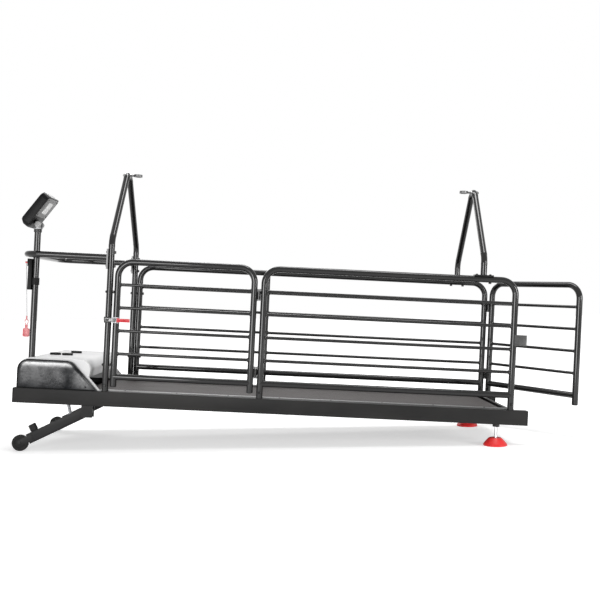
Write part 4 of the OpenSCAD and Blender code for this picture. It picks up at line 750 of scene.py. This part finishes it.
red_gloss, made, wires, skin = principled("red_moulded_plastic", (0.55, 0.02, 0.03), 0.32)
tint(made, wires, skin, grain(made, wires, 50, 4), (0.5, 0.016, 0.025), (0.6, 0.028, 0.036))
relief(made, wires, skin, grain(made, wires, 900, 2), 0.00015, 0.25)
dress(red_gloss, "stop_button", "power_rocker", "pull_plunger", "latch_handle")
tag_red, made, wires, skin = principled("worn_red_tag", (0.62, 0.12, 0.13), 0.34)
tint(made, wires, skin, grain(made, wires, 120, 5), (0.45, 0.06, 0.07), (0.6, 0.15, 0.16))
relief(made, wires, skin, grain(made, wires, 900, 2), 0.00015, 0.25)
dress(tag_red, "lanyard_tag")
TAG_EDGE = 0.001
ease(TAG_EDGE, 2, "lanyard_tag", "latch_handle")
green_gloss, made, wires, skin = principled("green_moulded_plastic", (0.03, 0.22, 0.05), 0.32)
tint(made, wires, skin, grain(made, wires, 50, 4), (0.025, 0.19, 0.042), (0.036, 0.25, 0.06))
dress(green_gloss, "start_button")

KEYS = ("start", "minus", "plus", "stop")
KEY_X, KEY_STEP, KEY_RISE, MARK_SUNK = -0.002, 0.032, 0.003, 0.0001
MARK_LONG, MARK_WIDE, MARK_HIGH, MARK_CORNER, MARK_EASE = 0.0092, 0.0022, 0.0005, 0.0004, 0.0002
STOP_LONG, STOP_CORNER = 0.00736, 0.0006
PLUS_HIGH = 0.00055
START_MARK = [(0.0058, 0), (0.0058, 0.00035), (0.0054, MARK_HIGH), (0, MARK_HIGH)]
for k, key in enumerate(KEYS):
    spot = on_console(KEY_X, (k - (len(KEYS) - 1) / 2) * KEY_STEP, CONSOLE_FACE + KEY_RISE - MARK_SUNK)
    bm = bmesh.new()
    if key == "start":
        revolve(bm, spot, out_face, START_MARK, sides=3)
    elif key == "stop":
        slab(bm, spot, up_face, ACROSS, STOP_LONG, STOP_LONG, MARK_HIGH, STOP_CORNER, MARK_EASE)
    else:
        slab(bm, spot, up_face, ACROSS, MARK_WIDE, MARK_LONG, MARK_HIGH, MARK_CORNER, MARK_EASE)
        if key == "plus":
            slab(bm, spot, up_face, ACROSS, MARK_LONG, MARK_WIDE, PLUS_HIGH, MARK_CORNER, MARK_EASE)
    piece(key + "_mark", bm, white_plate, key + "_button")

# Zinc plated fittings: the latch with its rivets and ribbed grip, the eye bolts and the bright actuator rod.
# The keepers are folded from plate, blackened at the side gate and grey at the tail gate.
zinc, made, wires, skin = principled("zinc_plate", (0.26, 0.265, 0.275), 0.5, 1.0)
spangle = grain(made, wires, 160, 4)
tint(made, wires, skin, spangle, (0.2, 0.205, 0.215), (0.32, 0.325, 0.335))
wires.new(spread(made, wires, spangle, 0.42, 0.58), skin.inputs["Roughness"])
dull_zinc, made, wires, skin = principled("dull_zinc_eye", (0.2, 0.2, 0.2), 0.4, 0.8)
tint(made, wires, skin, grain(made, wires, 160, 4), (0.1, 0.1, 0.1), (0.2, 0.2, 0.2))
dress(dull_zinc, "arch_eye_bolts", "gate_hinge_pins", "latch_hook")
dress(zinc, "gate_latch", "near_foot_stud", "far_foot_stud", "actuator_rod")
LATCH_EDGE = 0.0007
ease(LATCH_EDGE, 2, "gate_latch", "latch_hook")
KEEPER_BLACK = (0.008, 0.008, 0.008)
keeper_grey, made, wires, skin = principled("grey_keeper_plate", (0.07, 0.07, 0.07), 0.42, 0.2)
plate_grey = tones(made, wires, grain(made, wires, 140, 4), (0.04, 0.04, 0.04), (0.062, 0.062, 0.062))
two_paints(made, wires, skin, (1, 0, 0), 0, KEEPER_BLACK, plate_grey)
relief(made, wires, skin, grain(made, wires, 900, 2), 0.00015, 0.3)
dress(keeper_grey, "gate_keepers")
KEEPER_EDGE = 0.0008
ease(KEEPER_EDGE, 2, "gate_keepers")

LATCH_FACE_V, LATCH_W = -0.323, 0.338
RIVET = [(0.0028, -0.0003), (0.0028, 0.0004), (0.0021, 0.0013), (0, 0.0016)]
# Beside the middle of the gate's post, and above and below the middle of the latch
RIVET_STEPS, RIVET_RISES = (-0.008, 0.003), (-0.0105, 0.0105)
bm = bmesh.new()
for rise in RIVET_RISES:
    for step in RIVET_STEPS:
        revolve(bm, deck(GATE_START + step, LATCH_FACE_V, LATCH_W + rise), -ACROSS, RIVET, sides=14)
piece("latch_rivets", bm, steel, "side_gate")
grip_low, grip_high = reach("latch_handle")
GRIP_RIBS, RIB_FROM_END, RIB_STEP, RIB_OUT, RIB_WIRE = 6, 0.008, 0.0045, 0.0035, 0.0009
RIB_RISES = (-0.0066, -0.006, 0, 0.006, 0.0066)
bm = bmesh.new()
for k in range(GRIP_RIBS):
    u = grip_high[0] - RIB_FROM_END - k * RIB_STEP
    v = (grip_low[1] + grip_high[1]) / 2 - RIB_OUT
    sweep(bm, [deck(u, v, LATCH_W + rise) for rise in RIB_RISES], RIB_WIRE, sides=8)
piece("latch_grip_ribs", bm, red_gloss, "latch_handle")


# The levelling feet: bright red rubber pads under the tail end on zinc plated threaded studs, which screw up
# into the rails.
CORE_SHARE = 1.01


def threaded_rod(bm, foot, axis, length, crest, root, pitch, sides=16):
    """A threaded rod: one helical ridge round a plain core with flat ends."""
    axis = axis.normalized()
    side = axis.orthogonal().normalized()
    other = axis.cross(side)
    count = int((length / pitch - 1) * sides)
    low, top = [], []
    for k in range(count + sides + 1):
        turn = 2 * math.pi * k / sides
        way = side * math.cos(turn) + other * math.sin(turn)
        low.append(bm.verts.new(foot + axis * (pitch * k / sides) + way * root))
        if k <= count:
            top.append(bm.verts.new(foot + axis * (pitch * (k / sides + 0.5)) + way * crest))
    for k in range(count):
        bm.faces.new((low[k], low[k + 1], top[k + 1], top[k]))
        bm.faces.new((top[k], top[k + 1], low[k + 1 + sides], low[k + sides]))
    core = root * CORE_SHARE
    revolve(bm, foot, axis, [(0, 0), (core, 0), (core, length), (0, length)])


bright_zinc, made, wires, skin = principled("bright_zinc_stud", (0.78, 0.78, 0.79), 0.28, 1.0)
tint(made, wires, skin, grain(made, wires, 200, 4), (0.7, 0.7, 0.71), (0.85, 0.85, 0.86))
red_rubber, made, wires, skin = principled("red_foot_rubber", (0.78, 0.03, 0.03), 0.42)
tint(made, wires, skin, grain(made, wires, 40, 5), (0.7, 0.022, 0.024), (0.86, 0.038, 0.036))
relief(made, wires, skin, grain(made, wires, 700, 3), 0.0002, 0.3)
dress(red_rubber, "near_foot_pad", "far_foot_pad")
STUD_CREST, STUD_ROOT, STUD_PITCH, STUD_FOLD = 0.007, 0.0058, 0.0025, 25
for side, name in ((-1, "near"), (1, "far")):
    stud_low, stud_high = reach(name + "_foot_stud")
    bm = bmesh.new()
    foot = deck((stud_low[0] + stud_high[0]) / 2, side * TRACK, stud_low[2])
    threaded_rod(bm, foot, UP, stud_high[2] - stud_low[2], STUD_CREST, STUD_ROOT, STUD_PITCH)
    stud = piece(name + "_threaded_stud", bm, bright_zinc, name + "_foot", STUD_FOLD)
    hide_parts(name + "_foot_stud")

# Every solid from the workshop is shaded round where it is round and crisp where it is folded.
SOLID_FOLD = 30
for solid in nodes.values():
    smooth(solid, SOLID_FOLD)
